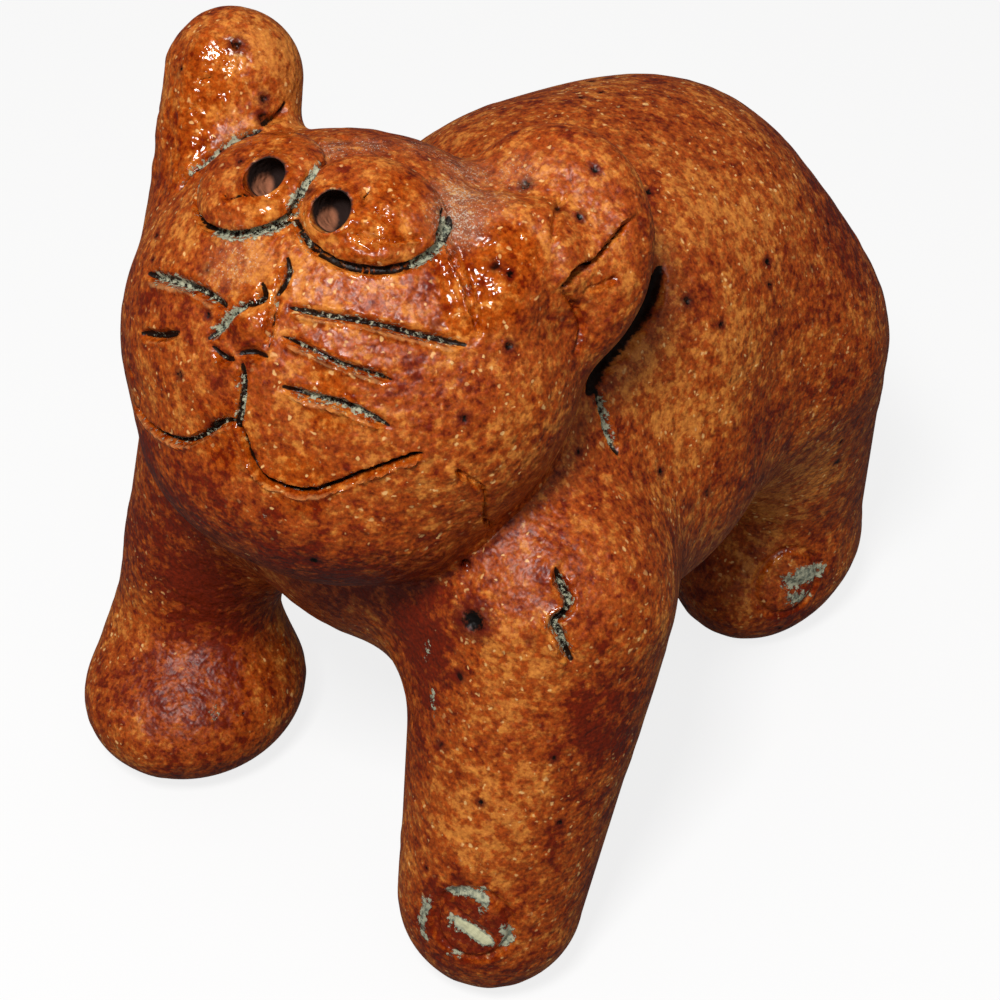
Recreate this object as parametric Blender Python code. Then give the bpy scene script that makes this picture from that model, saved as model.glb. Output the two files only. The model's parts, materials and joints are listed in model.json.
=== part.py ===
"""Cat figurine: a small standing cat, modelled by hand in one piece of stoneware and glazed brown.

The clay is one solid. Balls and tapered rolls, one for each lump of clay, are welded into a rough
skin. The skin is then drawn onto the smooth blend of the lumps, and the tool's marks are pressed
into it: the lines of the face, the seams round the eye discs, the creases of the ears, two cracks
and the ring stamps on two paws. Two tapered punches leave the pupils.

Metres, +Z up. The cat faces -Y and its left side is at +X. It stands on the XY plane, with the
origin under the middle of its bounding box.
"""

import bpy
import numpy as np
from mathutils import Matrix, Vector

# Body: one roll from the chest to the loins, with the rump and the left flank pressed on
CHEST = (-0.0015, -0.0101, 0.0390)
CHEST_RADIUS = 0.0200
LOINS = (0.0001, 0.0083, 0.0432)
LOINS_RADIUS = 0.0225
RUMP = (0.0015, 0.0222, 0.0422)
RUMP_WIDTH = 0.0390
RUMP_LENGTH = 0.0336
RUMP_HEIGHT = 0.0410
FLANK_OFFSET = (0.0132, 0.0123, -0.0045)
FLANK_WIDTH = 0.0254
FLANK_LENGTH = 0.0358
FLANK_HEIGHT = 0.0240
NECK_ROOT_OFFSET = (0.0040, 0.0018, 0.0070)
NECK_ROOT_RADIUS = 0.0150
NECK_TOP_RADIUS = 0.0140

# Front legs: the left one is a straight roll, the right one ends in a broad paw
LEFT_SHOULDER_OFFSET = (0.0203, -0.0069, -0.0022)
LEFT_SHOULDER_RADIUS = 0.0120
LEFT_FOOT = (0.0226, -0.0287)
LEFT_FOOT_RADIUS = 0.0089
RIGHT_SHOULDER_OFFSET = (-0.0169, -0.0069, -0.0018)
RIGHT_SHOULDER_RADIUS = 0.0106
RIGHT_WRIST_OFFSET = (-0.0040, 0.0041)
RIGHT_WRIST_HEIGHT = 0.0127
RIGHT_WRIST_RADIUS = 0.0079
RIGHT_PAW = (-0.0193, -0.0268)
RIGHT_PAW_WIDTH = 0.0218
RIGHT_PAW_LENGTH = 0.0240
RIGHT_PAW_HEIGHT = 0.0152

# Hind legs: a pair, each with its heel under the hip and its paw forward
HIP_OFFSET = (0.0111, 0.0044, -0.0062)
HIP_RADIUS = 0.0127
HEEL_SPREAD = 0.0132
HEEL_Y = 0.0320
HEEL_HEIGHT = 0.0089
HEEL_RADIUS = 0.0083
HIND_PAW_REACH = 0.0060
HIND_PAW_WIDTH = 0.0174
HIND_PAW_LENGTH = 0.0192
HIND_PAW_HEIGHT = 0.0170
SOLE_PRESS = 0.0014

# Head: a flattened ball, turned to the cat's left with its face tipped up, and a broad jaw
HEAD = (0.0005, -0.0223, 0.0595)
HEAD_TURN_DEG = 15.0
HEAD_TIP_DEG = 38.5
HEAD_WIDTH = 0.0420
HEAD_LENGTH = 0.0366
HEAD_DEPTH = 0.0300
JAW_OFFSET = (-0.0007, -0.0125, -0.0017)
JAW_WIDTH = 0.0300
JAW_LENGTH = 0.0174
JAW_DEPTH = 0.0248

# Ears, from the middle of the head: the right one is a thick roll, the left one a round lobe
RIGHT_EAR_ROOT = (-0.0158, 0.0077, -0.0015)
RIGHT_EAR_TIP = (-0.0170, 0.0195, 0.0005)
RIGHT_EAR_ROOT_RADIUS = 0.0065
RIGHT_EAR_TIP_RADIUS = 0.0060
LEFT_EAR = (0.0141, 0.0118, -0.0020)
LEFT_EAR_WIDTH = 0.0192
LEFT_EAR_LENGTH = 0.0226
LEFT_EAR_DEPTH = 0.0110

# Eyes: flattened pellets of clay pressed on the brow, each with a punched pupil
RIGHT_EYE = (-0.0076, 0.0115)
RIGHT_EYE_WIDTH = 0.0118
RIGHT_EYE_HEIGHT = 0.0112
LEFT_EYE = (0.0033, 0.0116)
LEFT_EYE_WIDTH = 0.0122
LEFT_EYE_HEIGHT = 0.0106
EYE_THICKNESS = 0.0052
EYE_SINK = 0.0006
RIGHT_PUPIL = (-0.0058, 0.0118)
LEFT_PUPIL = (0.0011, 0.0106)
PUPIL_RADIUS = 0.0018
PUPIL_DEPTH = 0.0026
PUPIL_TAPER = 0.85

# How far the clay is smoothed where two lumps meet
BODY_BLEND = 0.0060
LEG_BLEND = 0.0080
PAW_BLEND = 0.0050
JAW_BLEND = 0.0040
RIGHT_EAR_BLEND = 0.0030
HEAD_BLEND = 0.0020
EYE_BLEND = 0.0006
SOLE_BLEND = 0.0006

# Lines drawn with a needle on the face: (across, up) from the middle of the head
LINE_WIDTH = 0.0012
LINE_DEPTH = 0.0007
FACE_LINES = {
    "bridge": ((-0.0013, 0.0048), (-0.0013, 0.0024), (-0.0005, -0.0010)),
    "bridge notch": ((-0.0026, 0.0028), (-0.0025, 0.0017)),
    "nose wing": ((-0.0035, 0.0014), (-0.0062, -0.0022)),
    "right nostril": ((-0.0042, -0.0031), (-0.0034, -0.0037)),
    "left nostril": ((-0.0021, -0.0023), (-0.0012, -0.0023)),
    "philtrum": ((-0.0022, -0.0052), (-0.0022, -0.0084)),
    "mouth, right half": ((-0.0147, -0.0109), (-0.0110, -0.0119), (-0.0075, -0.0115), (-0.0022, -0.0084)),
    "mouth, left half": (
        (-0.0022, -0.0084), (-0.0005, -0.0114), (0.0020, -0.0128), (0.0065, -0.0114), (0.0125, -0.0066),
    ),
    "right upper whisker": ((-0.0155, 0.0009), (-0.0105, 0.0003), (-0.0055, 0.0008)),
    "right lower whisker": ((-0.0142, -0.0040), (-0.0102, -0.0028)),
    "right cheek nick": ((-0.0156, -0.0075), (-0.0150, -0.0079)),
    "left upper whisker": ((0.0006, 0.0019), (0.0072, 0.0027), (0.0136, 0.0028)),
    "left middle whisker": ((0.0005, -0.0004), (0.0050, -0.0011), (0.0091, -0.0012)),
    "left lower whisker": ((0.0019, -0.0046), (0.0058, -0.0043), (0.0098, -0.0044)),
}

# Creases where lumps of clay meet or fold, from the middle of the head too
CREASE_WIDTH = 0.0016
CREASE_DEPTH = 0.0009
HEAD_CREASES = {
    "brow seam": ((0.0096, 0.0108), (0.0117, 0.0082), (0.0136, 0.0063), (0.0139, 0.0050)),
    "right ear seam": ((-0.0157, 0.0092), (-0.0145, 0.0121), (-0.0117, 0.0154)),
    "left ear wrinkle": ((0.0167, 0.0173), (0.0169, 0.0134), (0.0173, 0.0112), (0.0188, 0.0099)),
    "left ear root": ((0.0190, 0.0098), (0.0204, 0.0073), (0.0208, 0.0055)),
    "torn cheek": ((0.0158, -0.0070), (0.0172, -0.0084), (0.0167, -0.0116)),
}
LEFT_EAR_FOLD = ((0.0188, 0.0099), (0.0198, 0.0128), (0.0216, 0.0166))
FOLD_WIDTH = 0.0024
FOLD_DEPTH = 0.0018
BODY_CREASES = {
    "shoulder crack": ((0.0174, -0.0083, 0.0533), (0.0185, -0.0086, 0.0513), (0.0199, -0.0090, 0.0494)),
    "left leg crack": (
        (0.0244, -0.0226, 0.0458),
        (0.0258, -0.0231, 0.0444),
        (0.0256, -0.0247, 0.0431),
        (0.0272, -0.0247, 0.0406),
    ),
}

# Ring stamps on two paws, each with a slanting bar: heights and bearings round the foot
STAMP_WIDTH = 0.0075
STAMP_BAR = 0.0048
STAMP_BAR_TURN_DEG = -35.0
STAMP_LINE_WIDTH = 0.0013
STAMP_LINE_DEPTH = 0.0005
FRONT_STAMP_HEIGHT = 0.0128
FRONT_STAMP_BEARING_DEG = 26.0
HIND_STAMP_HEIGHT = 0.0110
HIND_STAMP_BEARING_DEG = 60.0

# Skin: the first weld, the spacing of the points along a drawn line, and the finished facets
SKIN_VOXEL = 0.0005
POINT_SPACING = 0.0004
SLOPE_STEP = 0.00005
LONGEST_STEP = 0.0010
TRACE_START = 0.0400
TRACE_STOP = -0.0040
TRACE_STEPS = 90
SNAP_STEPS = 4
FACETS = 10800
MILLIMETRE = 0.001

GLAZE_COLOUR = (0.347, 0.077, 0.010, 1.0)
GLAZE_ROUGHNESS = 0.24


def unit(vector):
    vector = np.asarray(vector, float)
    return vector / np.sqrt((vector * vector).sum(axis=-1, keepdims=True))


def face_axes():
    """The head's directions as columns: to the cat's left, up its face, and out of its face."""
    turn = np.radians(HEAD_TURN_DEG)
    tip = np.radians(HEAD_TIP_DEG)
    left = np.array([np.cos(turn), np.sin(turn), 0.0])
    out = np.array([np.sin(turn) * np.cos(tip), -np.cos(turn) * np.cos(tip), np.sin(tip)])
    return np.stack([left, np.cross(out, left), out], axis=1)


FACE = face_axes()
UPRIGHT = np.eye(3)


def plus(point, offset):
    return np.add(point, offset)


def on_head(offset):
    """A place given as across, up and out from the middle of the head."""
    return np.array(HEAD) + FACE @ np.array(offset)


def blend(first, second, width):
    """Union of two signed distances, smoothed over the given width."""
    overlap = np.maximum(width - np.abs(first - second), 0.0) / width
    return np.minimum(first, second) - overlap * overlap * width / 4


class Ball:
    """An ellipsoid of clay."""

    def __init__(self, centre, size, axes=UPRIGHT, blend=None):
        self.centre = np.asarray(centre, float)
        self.half = np.asarray(size, float) / 2
        self.axes = axes
        self.blend = blend

    def distance(self, points):
        local = (points - self.centre) @ self.axes / self.half
        near = np.sqrt((local * local).sum(axis=1))
        slope = np.sqrt((local * local / (self.half * self.half)).sum(axis=1))
        return near * (near - 1) / np.maximum(slope, 1e-9)

    def add_mesh(self):
        bpy.ops.mesh.primitive_uv_sphere_add(segments=48, ring_count=24, radius=1.0)
        shape = Matrix(self.axes).to_4x4() @ Matrix.Diagonal((*self.half, 1.0))
        bpy.context.object.matrix_world = Matrix.Translation(self.centre) @ shape


class Roll:
    """A tapered roll of clay with round ends."""

    def __init__(self, start, end, start_radius, end_radius, blend=None):
        self.start = np.asarray(start, float)
        self.end = np.asarray(end, float)
        self.radii = (start_radius, end_radius)
        self.blend = blend

    def distance(self, points):
        along = self.end - self.start
        share = ((points - self.start) * along).sum(axis=1) / (along * along).sum()
        share = np.clip(share, 0.0, 1.0)
        away = points - self.start - share[:, None] * along
        radius = self.radii[0] + share * (self.radii[1] - self.radii[0])
        return np.sqrt((away * away).sum(axis=1)) - radius

    def add_mesh(self):
        along = Vector(self.end - self.start)
        bpy.ops.mesh.primitive_cone_add(
            vertices=48,
            radius1=self.radii[0],
            radius2=self.radii[1],
            depth=along.length,
            location=(self.start + self.end) / 2,
            rotation=along.to_track_quat("Z", "Y").to_euler(),
        )
        for centre, radius in zip((self.start, self.end), self.radii):
            bpy.ops.mesh.primitive_uv_sphere_add(
                segments=48, ring_count=24, radius=radius, location=centre
            )


class Group:
    """Lumps pressed onto the first one in turn, each with its own blend."""

    def __init__(self, lumps, blend=None):
        self.lumps = lumps
        self.blend = blend

    def distance(self, points):
        total = self.lumps[0].distance(points)
        for lump in self.lumps[1:]:
            total = blend(total, lump.distance(points), lump.blend)
        return total

    def add_mesh(self):
        for lump in self.lumps:
            lump.add_mesh()


def body():
    return [
        Roll(CHEST, LOINS, CHEST_RADIUS, LOINS_RADIUS),
        Ball(RUMP, (RUMP_WIDTH, RUMP_LENGTH, RUMP_HEIGHT), blend=BODY_BLEND),
        Ball(plus(CHEST, FLANK_OFFSET), (FLANK_WIDTH, FLANK_LENGTH, FLANK_HEIGHT), blend=BODY_BLEND),
    ]


def left_front_leg():
    foot = (*LEFT_FOOT, LEFT_FOOT_RADIUS - SOLE_PRESS)
    return Roll(
        plus(CHEST, LEFT_SHOULDER_OFFSET), foot, LEFT_SHOULDER_RADIUS, LEFT_FOOT_RADIUS, blend=LEG_BLEND
    )


def right_front_leg():
    wrist = (*plus(RIGHT_PAW, RIGHT_WRIST_OFFSET), RIGHT_WRIST_HEIGHT)
    paw = (*RIGHT_PAW, RIGHT_PAW_HEIGHT / 2 - SOLE_PRESS)
    return Group(
        [
            Roll(plus(CHEST, RIGHT_SHOULDER_OFFSET), wrist, RIGHT_SHOULDER_RADIUS, RIGHT_WRIST_RADIUS),
            Ball(paw, (RIGHT_PAW_WIDTH, RIGHT_PAW_LENGTH, RIGHT_PAW_HEIGHT), blend=PAW_BLEND),
        ],
        blend=LEG_BLEND,
    )


def hind_leg(side):
    """The left hind leg for side 1, and its mirror image across the rump for side -1."""
    hip = plus(RUMP, (side * HIP_OFFSET[0], HIP_OFFSET[1], HIP_OFFSET[2]))
    heel = (RUMP[0] + side * HEEL_SPREAD, HEEL_Y, HEEL_HEIGHT)
    paw = (heel[0], HEEL_Y - HIND_PAW_REACH, HIND_PAW_HEIGHT / 2 - SOLE_PRESS)
    return Group(
        [
            Roll(hip, heel, HIP_RADIUS, HEEL_RADIUS),
            Ball(paw, (HIND_PAW_WIDTH, HIND_PAW_LENGTH, HIND_PAW_HEIGHT), blend=PAW_BLEND),
        ],
        blend=LEG_BLEND,
    )


def head():
    skull = Ball(HEAD, (HEAD_WIDTH, HEAD_LENGTH, HEAD_DEPTH), FACE)
    jaw = Ball(on_head(JAW_OFFSET), (JAW_WIDTH, JAW_LENGTH, JAW_DEPTH), FACE, JAW_BLEND)
    right_ear = Roll(
        on_head(RIGHT_EAR_ROOT),
        on_head(RIGHT_EAR_TIP),
        RIGHT_EAR_ROOT_RADIUS,
        RIGHT_EAR_TIP_RADIUS,
        blend=RIGHT_EAR_BLEND,
    )
    return Group([skull, jaw, right_ear], blend=HEAD_BLEND)


def left_ear():
    size = (LEFT_EAR_WIDTH, LEFT_EAR_LENGTH, LEFT_EAR_DEPTH)
    return Ball(on_head(LEFT_EAR), size, FACE, HEAD_BLEND)


def neck():
    return Roll(plus(CHEST, NECK_ROOT_OFFSET), HEAD, NECK_ROOT_RADIUS, NECK_TOP_RADIUS, blend=BODY_BLEND)


def eye(clay, place, width, height):
    """A pellet that lies flat on the brow at the given place."""
    seat = drop(clay, [place])[0]
    out = slope(clay, seat[None])[0]
    across = unit(np.cross(FACE[:, 1], out))
    axes = np.stack([across, np.cross(out, across), out], axis=1)
    return Ball(seat - EYE_SINK * out, (width, height, EYE_THICKNESS), axes, EYE_BLEND)


def slope(clay, points):
    """The unit direction out of the clay at each point."""
    found = np.empty_like(points)
    for axis in range(3):
        step = np.zeros(3)
        step[axis] = SLOPE_STEP
        found[:, axis] = clay.distance(points + step) - clay.distance(points - step)
    return unit(found)


def snap(clay, points):
    """Draws the points onto the skin of the clay, the shortest way."""
    for _ in range(SNAP_STEPS):
        step = np.clip(clay.distance(points), -LONGEST_STEP, LONGEST_STEP)
        points = points - slope(clay, points) * step[:, None]
    return points


def drop(clay, places):
    """Where places given as across and up on the face meet the skin, seen square to the face."""
    out = FACE[:, 2]
    starts = np.array([on_head((*place, TRACE_START)) for place in places])
    travel = np.zeros(len(starts))
    for _ in range(TRACE_STEPS):
        travel = travel + clay.distance(starts - travel[:, None] * out)
        travel = np.minimum(travel, TRACE_START - TRACE_STOP)
    return snap(clay, starts - travel[:, None] * out)


def smooth_path(corners):
    """A smooth curve through the corners, with a point about every POINT_SPACING."""
    corners = np.asarray(corners, float)
    ends = np.concatenate([2 * corners[:1] - corners[1:2], corners, 2 * corners[-1:] - corners[-2:-1]])
    points = [corners[:1]]
    for before, start, end, after in zip(ends, ends[1:], ends[2:], ends[3:]):
        length = np.sqrt(((end - start) ** 2).sum())
        share = np.arange(1, max(int(length / POINT_SPACING), 1) + 1)[:, None]
        share = share / share[-1]
        points.append(
            (
                2 * start
                + (end - before) * share
                + (2 * before - 5 * start + 4 * end - after) * share**2
                + (3 * start - before - 3 * end + after) * share**3
            )
            / 2
        )
    return np.concatenate(points)


def ring(centre, across, up, width, height):
    """A closed oval in the plane of two directions."""
    count = int(np.pi * max(width, height) / POINT_SPACING)
    angle = np.linspace(0.0, 2 * np.pi, count + 1)[:, None]
    return centre + np.cos(angle) * across * width / 2 + np.sin(angle) * up * height / 2


def press(points, out, path, width, depth):
    """How far each point moves along its own outward direction for a rounded groove along the path."""
    half = width / 2
    lower = path.min(axis=0) - half
    upper = path.max(axis=0) + half
    near = np.flatnonzero(((points > lower) & (points < upper)).all(axis=1))
    nearest = np.full(len(near), np.inf)
    for start, end in zip(path, path[1:]):
        along = end - start
        share = ((points[near] - start) * along).sum(axis=1) / max((along * along).sum(), 1e-18)
        away = points[near] - start - np.clip(share, 0.0, 1.0)[:, None] * along
        nearest = np.minimum(nearest, (away * away).sum(axis=1))
    share = np.clip(1 - nearest / half**2, 0.0, 1.0)
    moved = np.zeros(len(points))
    moved[near] = -depth * share * np.sqrt(share)
    return moved


def stamp(clay, centre, height, bearing, side_radius):
    """The ring and the bar of a stamp on the side of a foot, as two paths."""
    angle = np.radians(bearing)
    out = np.array([np.sin(angle), -np.cos(angle), 0.0])
    across = np.array([np.cos(angle), np.sin(angle), 0.0])
    up = np.array([0.0, 0.0, 1.0])
    seat = snap(clay, (np.array([*centre, height]) + out * side_radius)[None])[0]
    oval = snap(clay, ring(seat, across, up, STAMP_WIDTH, STAMP_WIDTH))
    turn = np.radians(STAMP_BAR_TURN_DEG)
    half_bar = (np.cos(turn) * across + np.sin(turn) * up) * STAMP_BAR / 2
    bar = snap(clay, smooth_path([seat - half_bar, seat + half_bar]))
    return oval, bar


def marks(clay, eyes):
    """Every groove as its path, width and depth."""
    found = [(drop(clay, smooth_path(LEFT_EAR_FOLD)), FOLD_WIDTH, FOLD_DEPTH)]
    for corners in FACE_LINES.values():
        found.append((drop(clay, smooth_path(corners)), LINE_WIDTH, LINE_DEPTH))
    for corners in HEAD_CREASES.values():
        found.append((drop(clay, smooth_path(corners)), CREASE_WIDTH, CREASE_DEPTH))
    for corners in BODY_CREASES.values():
        found.append((snap(clay, smooth_path(corners)), CREASE_WIDTH, CREASE_DEPTH))
    for pellet in eyes:
        edge = ring(pellet.centre, *pellet.axes.T[:2], *(2 * pellet.half[:2] + EYE_SINK))
        found.append((snap(clay, edge), LINE_WIDTH, LINE_DEPTH))
    hind_paw = (RUMP[0] + HEEL_SPREAD, HEEL_Y - HIND_PAW_REACH)
    stamps = (
        (LEFT_FOOT, FRONT_STAMP_HEIGHT, FRONT_STAMP_BEARING_DEG, LEFT_FOOT_RADIUS),
        (hind_paw, HIND_STAMP_HEIGHT, HIND_STAMP_BEARING_DEG, HEEL_RADIUS),
    )
    for centre, height, bearing, radius in stamps:
        for path in stamp(clay, centre, height, bearing, radius):
            found.append((path, STAMP_LINE_WIDTH, STAMP_LINE_DEPTH))
    return found


def clear_scene():
    for obj in list(bpy.data.objects):
        bpy.data.objects.remove(obj, do_unlink=True)


def rough_skin(clay):
    """The lumps' own meshes, welded into one closed skin."""
    clay.add_mesh()
    lumps = list(bpy.data.objects)
    with bpy.context.temp_override(active_object=lumps[0], selected_editable_objects=lumps):
        bpy.ops.object.join()
    rough = lumps[0]
    rough.data.transform(rough.matrix_world)
    rough.matrix_world = Matrix.Identity(4)
    weld = rough.modifiers.new("Weld", "REMESH")
    weld.mode = "VOXEL"
    weld.voxel_size = SKIN_VOXEL
    return bake(rough)


def bake(obj):
    """The object's mesh as its modifiers leave it. The object itself goes."""
    bpy.context.view_layer.update()
    graph = bpy.context.evaluated_depsgraph_get()
    mesh = bpy.data.meshes.new_from_object(obj.evaluated_get(graph))
    bpy.data.objects.remove(obj, do_unlink=True)
    return mesh


def points_of(mesh):
    points = np.empty(len(mesh.vertices) * 3, np.float32)
    mesh.vertices.foreach_get("co", points)
    return points.reshape(-1, 3).astype(float)


def move_points(mesh, points):
    mesh.vertices.foreach_set("co", points.astype(np.float32).ravel())
    mesh.update()


def thin_out(mesh):
    """The same skin with about FACETS triangles, kept where the surface bends most.

    The thinning weighs errors in squared units, so it works on the skin in millimetres.
    """
    mesh.calc_loop_triangles()
    mesh.transform(Matrix.Scale(1 / MILLIMETRE, 4))
    obj = bpy.data.objects.new("skin", mesh)
    bpy.context.scene.collection.objects.link(obj)
    thin = obj.modifiers.new("Thin", "DECIMATE")
    thin.ratio = FACETS / len(mesh.loop_triangles)
    thin.use_collapse_triangulate = True
    thinned = bake(obj)
    thinned.transform(Matrix.Scale(MILLIMETRE, 4))
    return thinned


def stand(points):
    """Presses the soles flat and sets the origin under the middle of the figure."""
    low = points[:, 2] < SOLE_BLEND / 8
    points[low, 2] = 0.0
    middle = (points.min(axis=0) + points.max(axis=0)) / 2
    middle[2] = 0.0
    return points - middle, middle


def punch(name, seat, out):
    """A hidden tapered pin that stands in the pupil's place."""
    length = 2 * PUPIL_DEPTH
    bpy.ops.mesh.primitive_cone_add(
        vertices=24,
        radius1=PUPIL_RADIUS * PUPIL_TAPER,
        radius2=PUPIL_RADIUS / PUPIL_TAPER,
        depth=length,
        location=seat,
        rotation=Vector(out).to_track_quat("Z", "Y").to_euler(),
    )
    pin = bpy.context.object
    pin.name = name
    pin.hide_render = True
    pin.display_type = "WIRE"
    return pin


def glaze():
    material = bpy.data.materials.new("Brown glazed stoneware")
    material.use_nodes = True
    shader = material.node_tree.nodes["Principled BSDF"]
    shader.inputs["Base Color"].default_value = GLAZE_COLOUR
    shader.inputs["Roughness"].default_value = GLAZE_ROUGHNESS
    shader.inputs["Metallic"].default_value = 0.0
    return material


class Standing(Group):
    """The clay as it stands: its lowest parts end in flat soles on the ground."""

    def distance(self, points):
        return -blend(-super().distance(points), points[:, 2], SOLE_BLEND)


def main():
    clear_scene()
    legs = [left_front_leg(), right_front_leg(), hind_leg(1), hind_leg(-1)]
    bare = Standing([*body(), *legs, neck(), head(), left_ear()])
    eyes = [
        eye(bare, RIGHT_EYE, RIGHT_EYE_WIDTH, RIGHT_EYE_HEIGHT),
        eye(bare, LEFT_EYE, LEFT_EYE_WIDTH, LEFT_EYE_HEIGHT),
    ]
    clay = Standing([*bare.lumps, *eyes])

    skin = rough_skin(clay)
    points = snap(clay, points_of(skin))
    out = slope(clay, points)
    depth = np.zeros(len(points))
    for path, width, deep in marks(clay, eyes):
        depth = np.minimum(depth, press(points, out, path, width, deep))
    move_points(skin, points + out * depth[:, None])
    skin = thin_out(skin)
    points, middle = stand(points_of(skin))
    move_points(skin, points)
    skin.name = "cat_figurine"
    skin.shade_smooth()
    skin.materials.append(glaze())
    cat = bpy.data.objects.new("cat_figurine", skin)
    bpy.context.scene.collection.objects.link(cat)

    for name, place in (("right_pupil_punch", RIGHT_PUPIL), ("left_pupil_punch", LEFT_PUPIL)):
        seat = drop(clay, [place])
        hole = cat.modifiers.new(name, "BOOLEAN")
        hole.operation = "DIFFERENCE"
        hole.object = punch(name, seat[0] - middle, slope(clay, seat)[0])


main()
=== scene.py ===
"""Glazed cat figurine: the fine skin and the glaze of a small stoneware cat, and a stage for it.

The cat is one piece of clay. Its lumps are balls and tapered rolls, welded and drawn to a smooth
skin. Strokes of a needle, creases, cracks, pits and stamps are pressed into that skin, two pupils
are punched, and what lies in the marks is kept as attributes for the glaze to read.

Shapes are worked in millimetres and turned to metres at the end. +Z is up, the cat faces -Y, and
its left side is at +X. Places on the head are (across, up) or (across, up, out) from its middle.
"""

import json

import bpy
import numpy as np
from bpy.props import FloatProperty, FloatVectorProperty, IntProperty, PointerProperty
from mathutils import Matrix, Vector, noise

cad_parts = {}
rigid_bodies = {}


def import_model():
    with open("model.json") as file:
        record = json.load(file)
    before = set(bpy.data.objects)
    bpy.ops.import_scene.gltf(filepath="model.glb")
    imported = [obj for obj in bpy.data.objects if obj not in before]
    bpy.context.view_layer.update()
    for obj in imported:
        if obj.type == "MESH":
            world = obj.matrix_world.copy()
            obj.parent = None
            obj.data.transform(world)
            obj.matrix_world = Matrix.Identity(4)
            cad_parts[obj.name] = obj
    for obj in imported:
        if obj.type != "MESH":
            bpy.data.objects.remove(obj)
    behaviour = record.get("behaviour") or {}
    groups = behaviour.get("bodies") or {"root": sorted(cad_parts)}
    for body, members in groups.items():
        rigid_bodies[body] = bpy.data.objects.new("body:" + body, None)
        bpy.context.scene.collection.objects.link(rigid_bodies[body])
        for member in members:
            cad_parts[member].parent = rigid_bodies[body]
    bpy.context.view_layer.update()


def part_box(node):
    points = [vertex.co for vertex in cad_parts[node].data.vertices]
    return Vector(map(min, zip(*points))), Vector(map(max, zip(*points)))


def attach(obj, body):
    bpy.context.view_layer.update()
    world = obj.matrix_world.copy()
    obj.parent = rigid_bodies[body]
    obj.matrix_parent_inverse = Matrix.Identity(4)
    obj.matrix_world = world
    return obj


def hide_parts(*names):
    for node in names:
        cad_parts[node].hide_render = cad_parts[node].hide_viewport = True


bl_info = {
    "name": "Glazed Cat Figurine",
    "version": (1, 0, 0),
    "blender": (4, 5, 0),
    "location": "3D View > Sidebar > Figurine",
    "description": "Models a small glazed stoneware cat and a plain stage for it",
    "category": "Add Mesh",
}

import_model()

MM = 0.001

# Lumps of the body, as in the solid that this skin stands for
CHEST = (-1.5, -10.1, 39.0)
LOINS = (0.1, 8.3, 43.2)
RUMP = (1.5, 22.2, 42.2)
FLANK = (11.7, 2.2, 34.5)
NECK_ROOT = (2.5, -8.3, 46.0)
LEFT_SHOULDER = (18.8, -17.0, 36.8)
LEFT_FOOT = (22.6, -28.7, 7.5)
RIGHT_SHOULDER = (-18.4, -17.0, 37.2)
RIGHT_WRIST = (-23.3, -22.7, 12.7)
RIGHT_PAW = (-19.3, -26.8, 6.2)
HIP_OFFSET = (11.1, 4.4, -6.2)
HEEL_SPREAD = 13.2
HEEL = (32.0, 8.9)
HIND_PAW = (26.0, 7.1)
HEAD = (0.5, -22.3, 59.5)
HEAD_TURN_DEG = 15.0
HEAD_TIP_DEG = 38.5

# Eye pellets on the face: (place, width and height)
RIGHT_EYE = ((-7.6, 11.5), (11.8, 11.2))
LEFT_EYE = ((3.3, 11.6), (12.2, 10.6))
EYE_THICKNESS = 5.2
EYE_SINK = 0.6
RIGHT_PUPIL = (-5.8, 11.8)
LEFT_PUPIL = (1.1, 10.6)
PUPIL_LEAN = 0.45
# Where the pupils' floors face and show bare clay, on the head's directions; the rest of each hole
# is painted dark as shade
PUPIL_SIGHT = (0.41, 0.07, 0.91)
EYE_GROOVE = 0.6
# How far up an eye its deep lower groove reaches, as a share of its half height; that groove's
# black paints the pellet's shade
LOWER_GROOVE = 0.35

SOLE_BLEND = 0.6
CRACK_LIP = 0.45
# The ears' coarser skin: (place, radius)
ROUGH_EARS = (((-16.0, 16.0, 3.0), 12.0), ((15.0, 13.0, 2.0), 13.0))
RIGHT_EAR_RIDGE = ((-18.0, 21.5), (-18.2, 17.0), (-17.5, 13.5), (-16.2, 10.5))
RIDGE_HEIGHT = 0.45
PUPIL_RIM_HEIGHT = 0.28
# Low steps beside marks: (height, width)
LEDGES = {
    "left ear fold": (0.8, 3.5),
    "torn cheek": (0.45, 2.2),
    "brow seam": (0.25, 2.4),
    "left leg crack": (0.6, 3.0),
}

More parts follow.
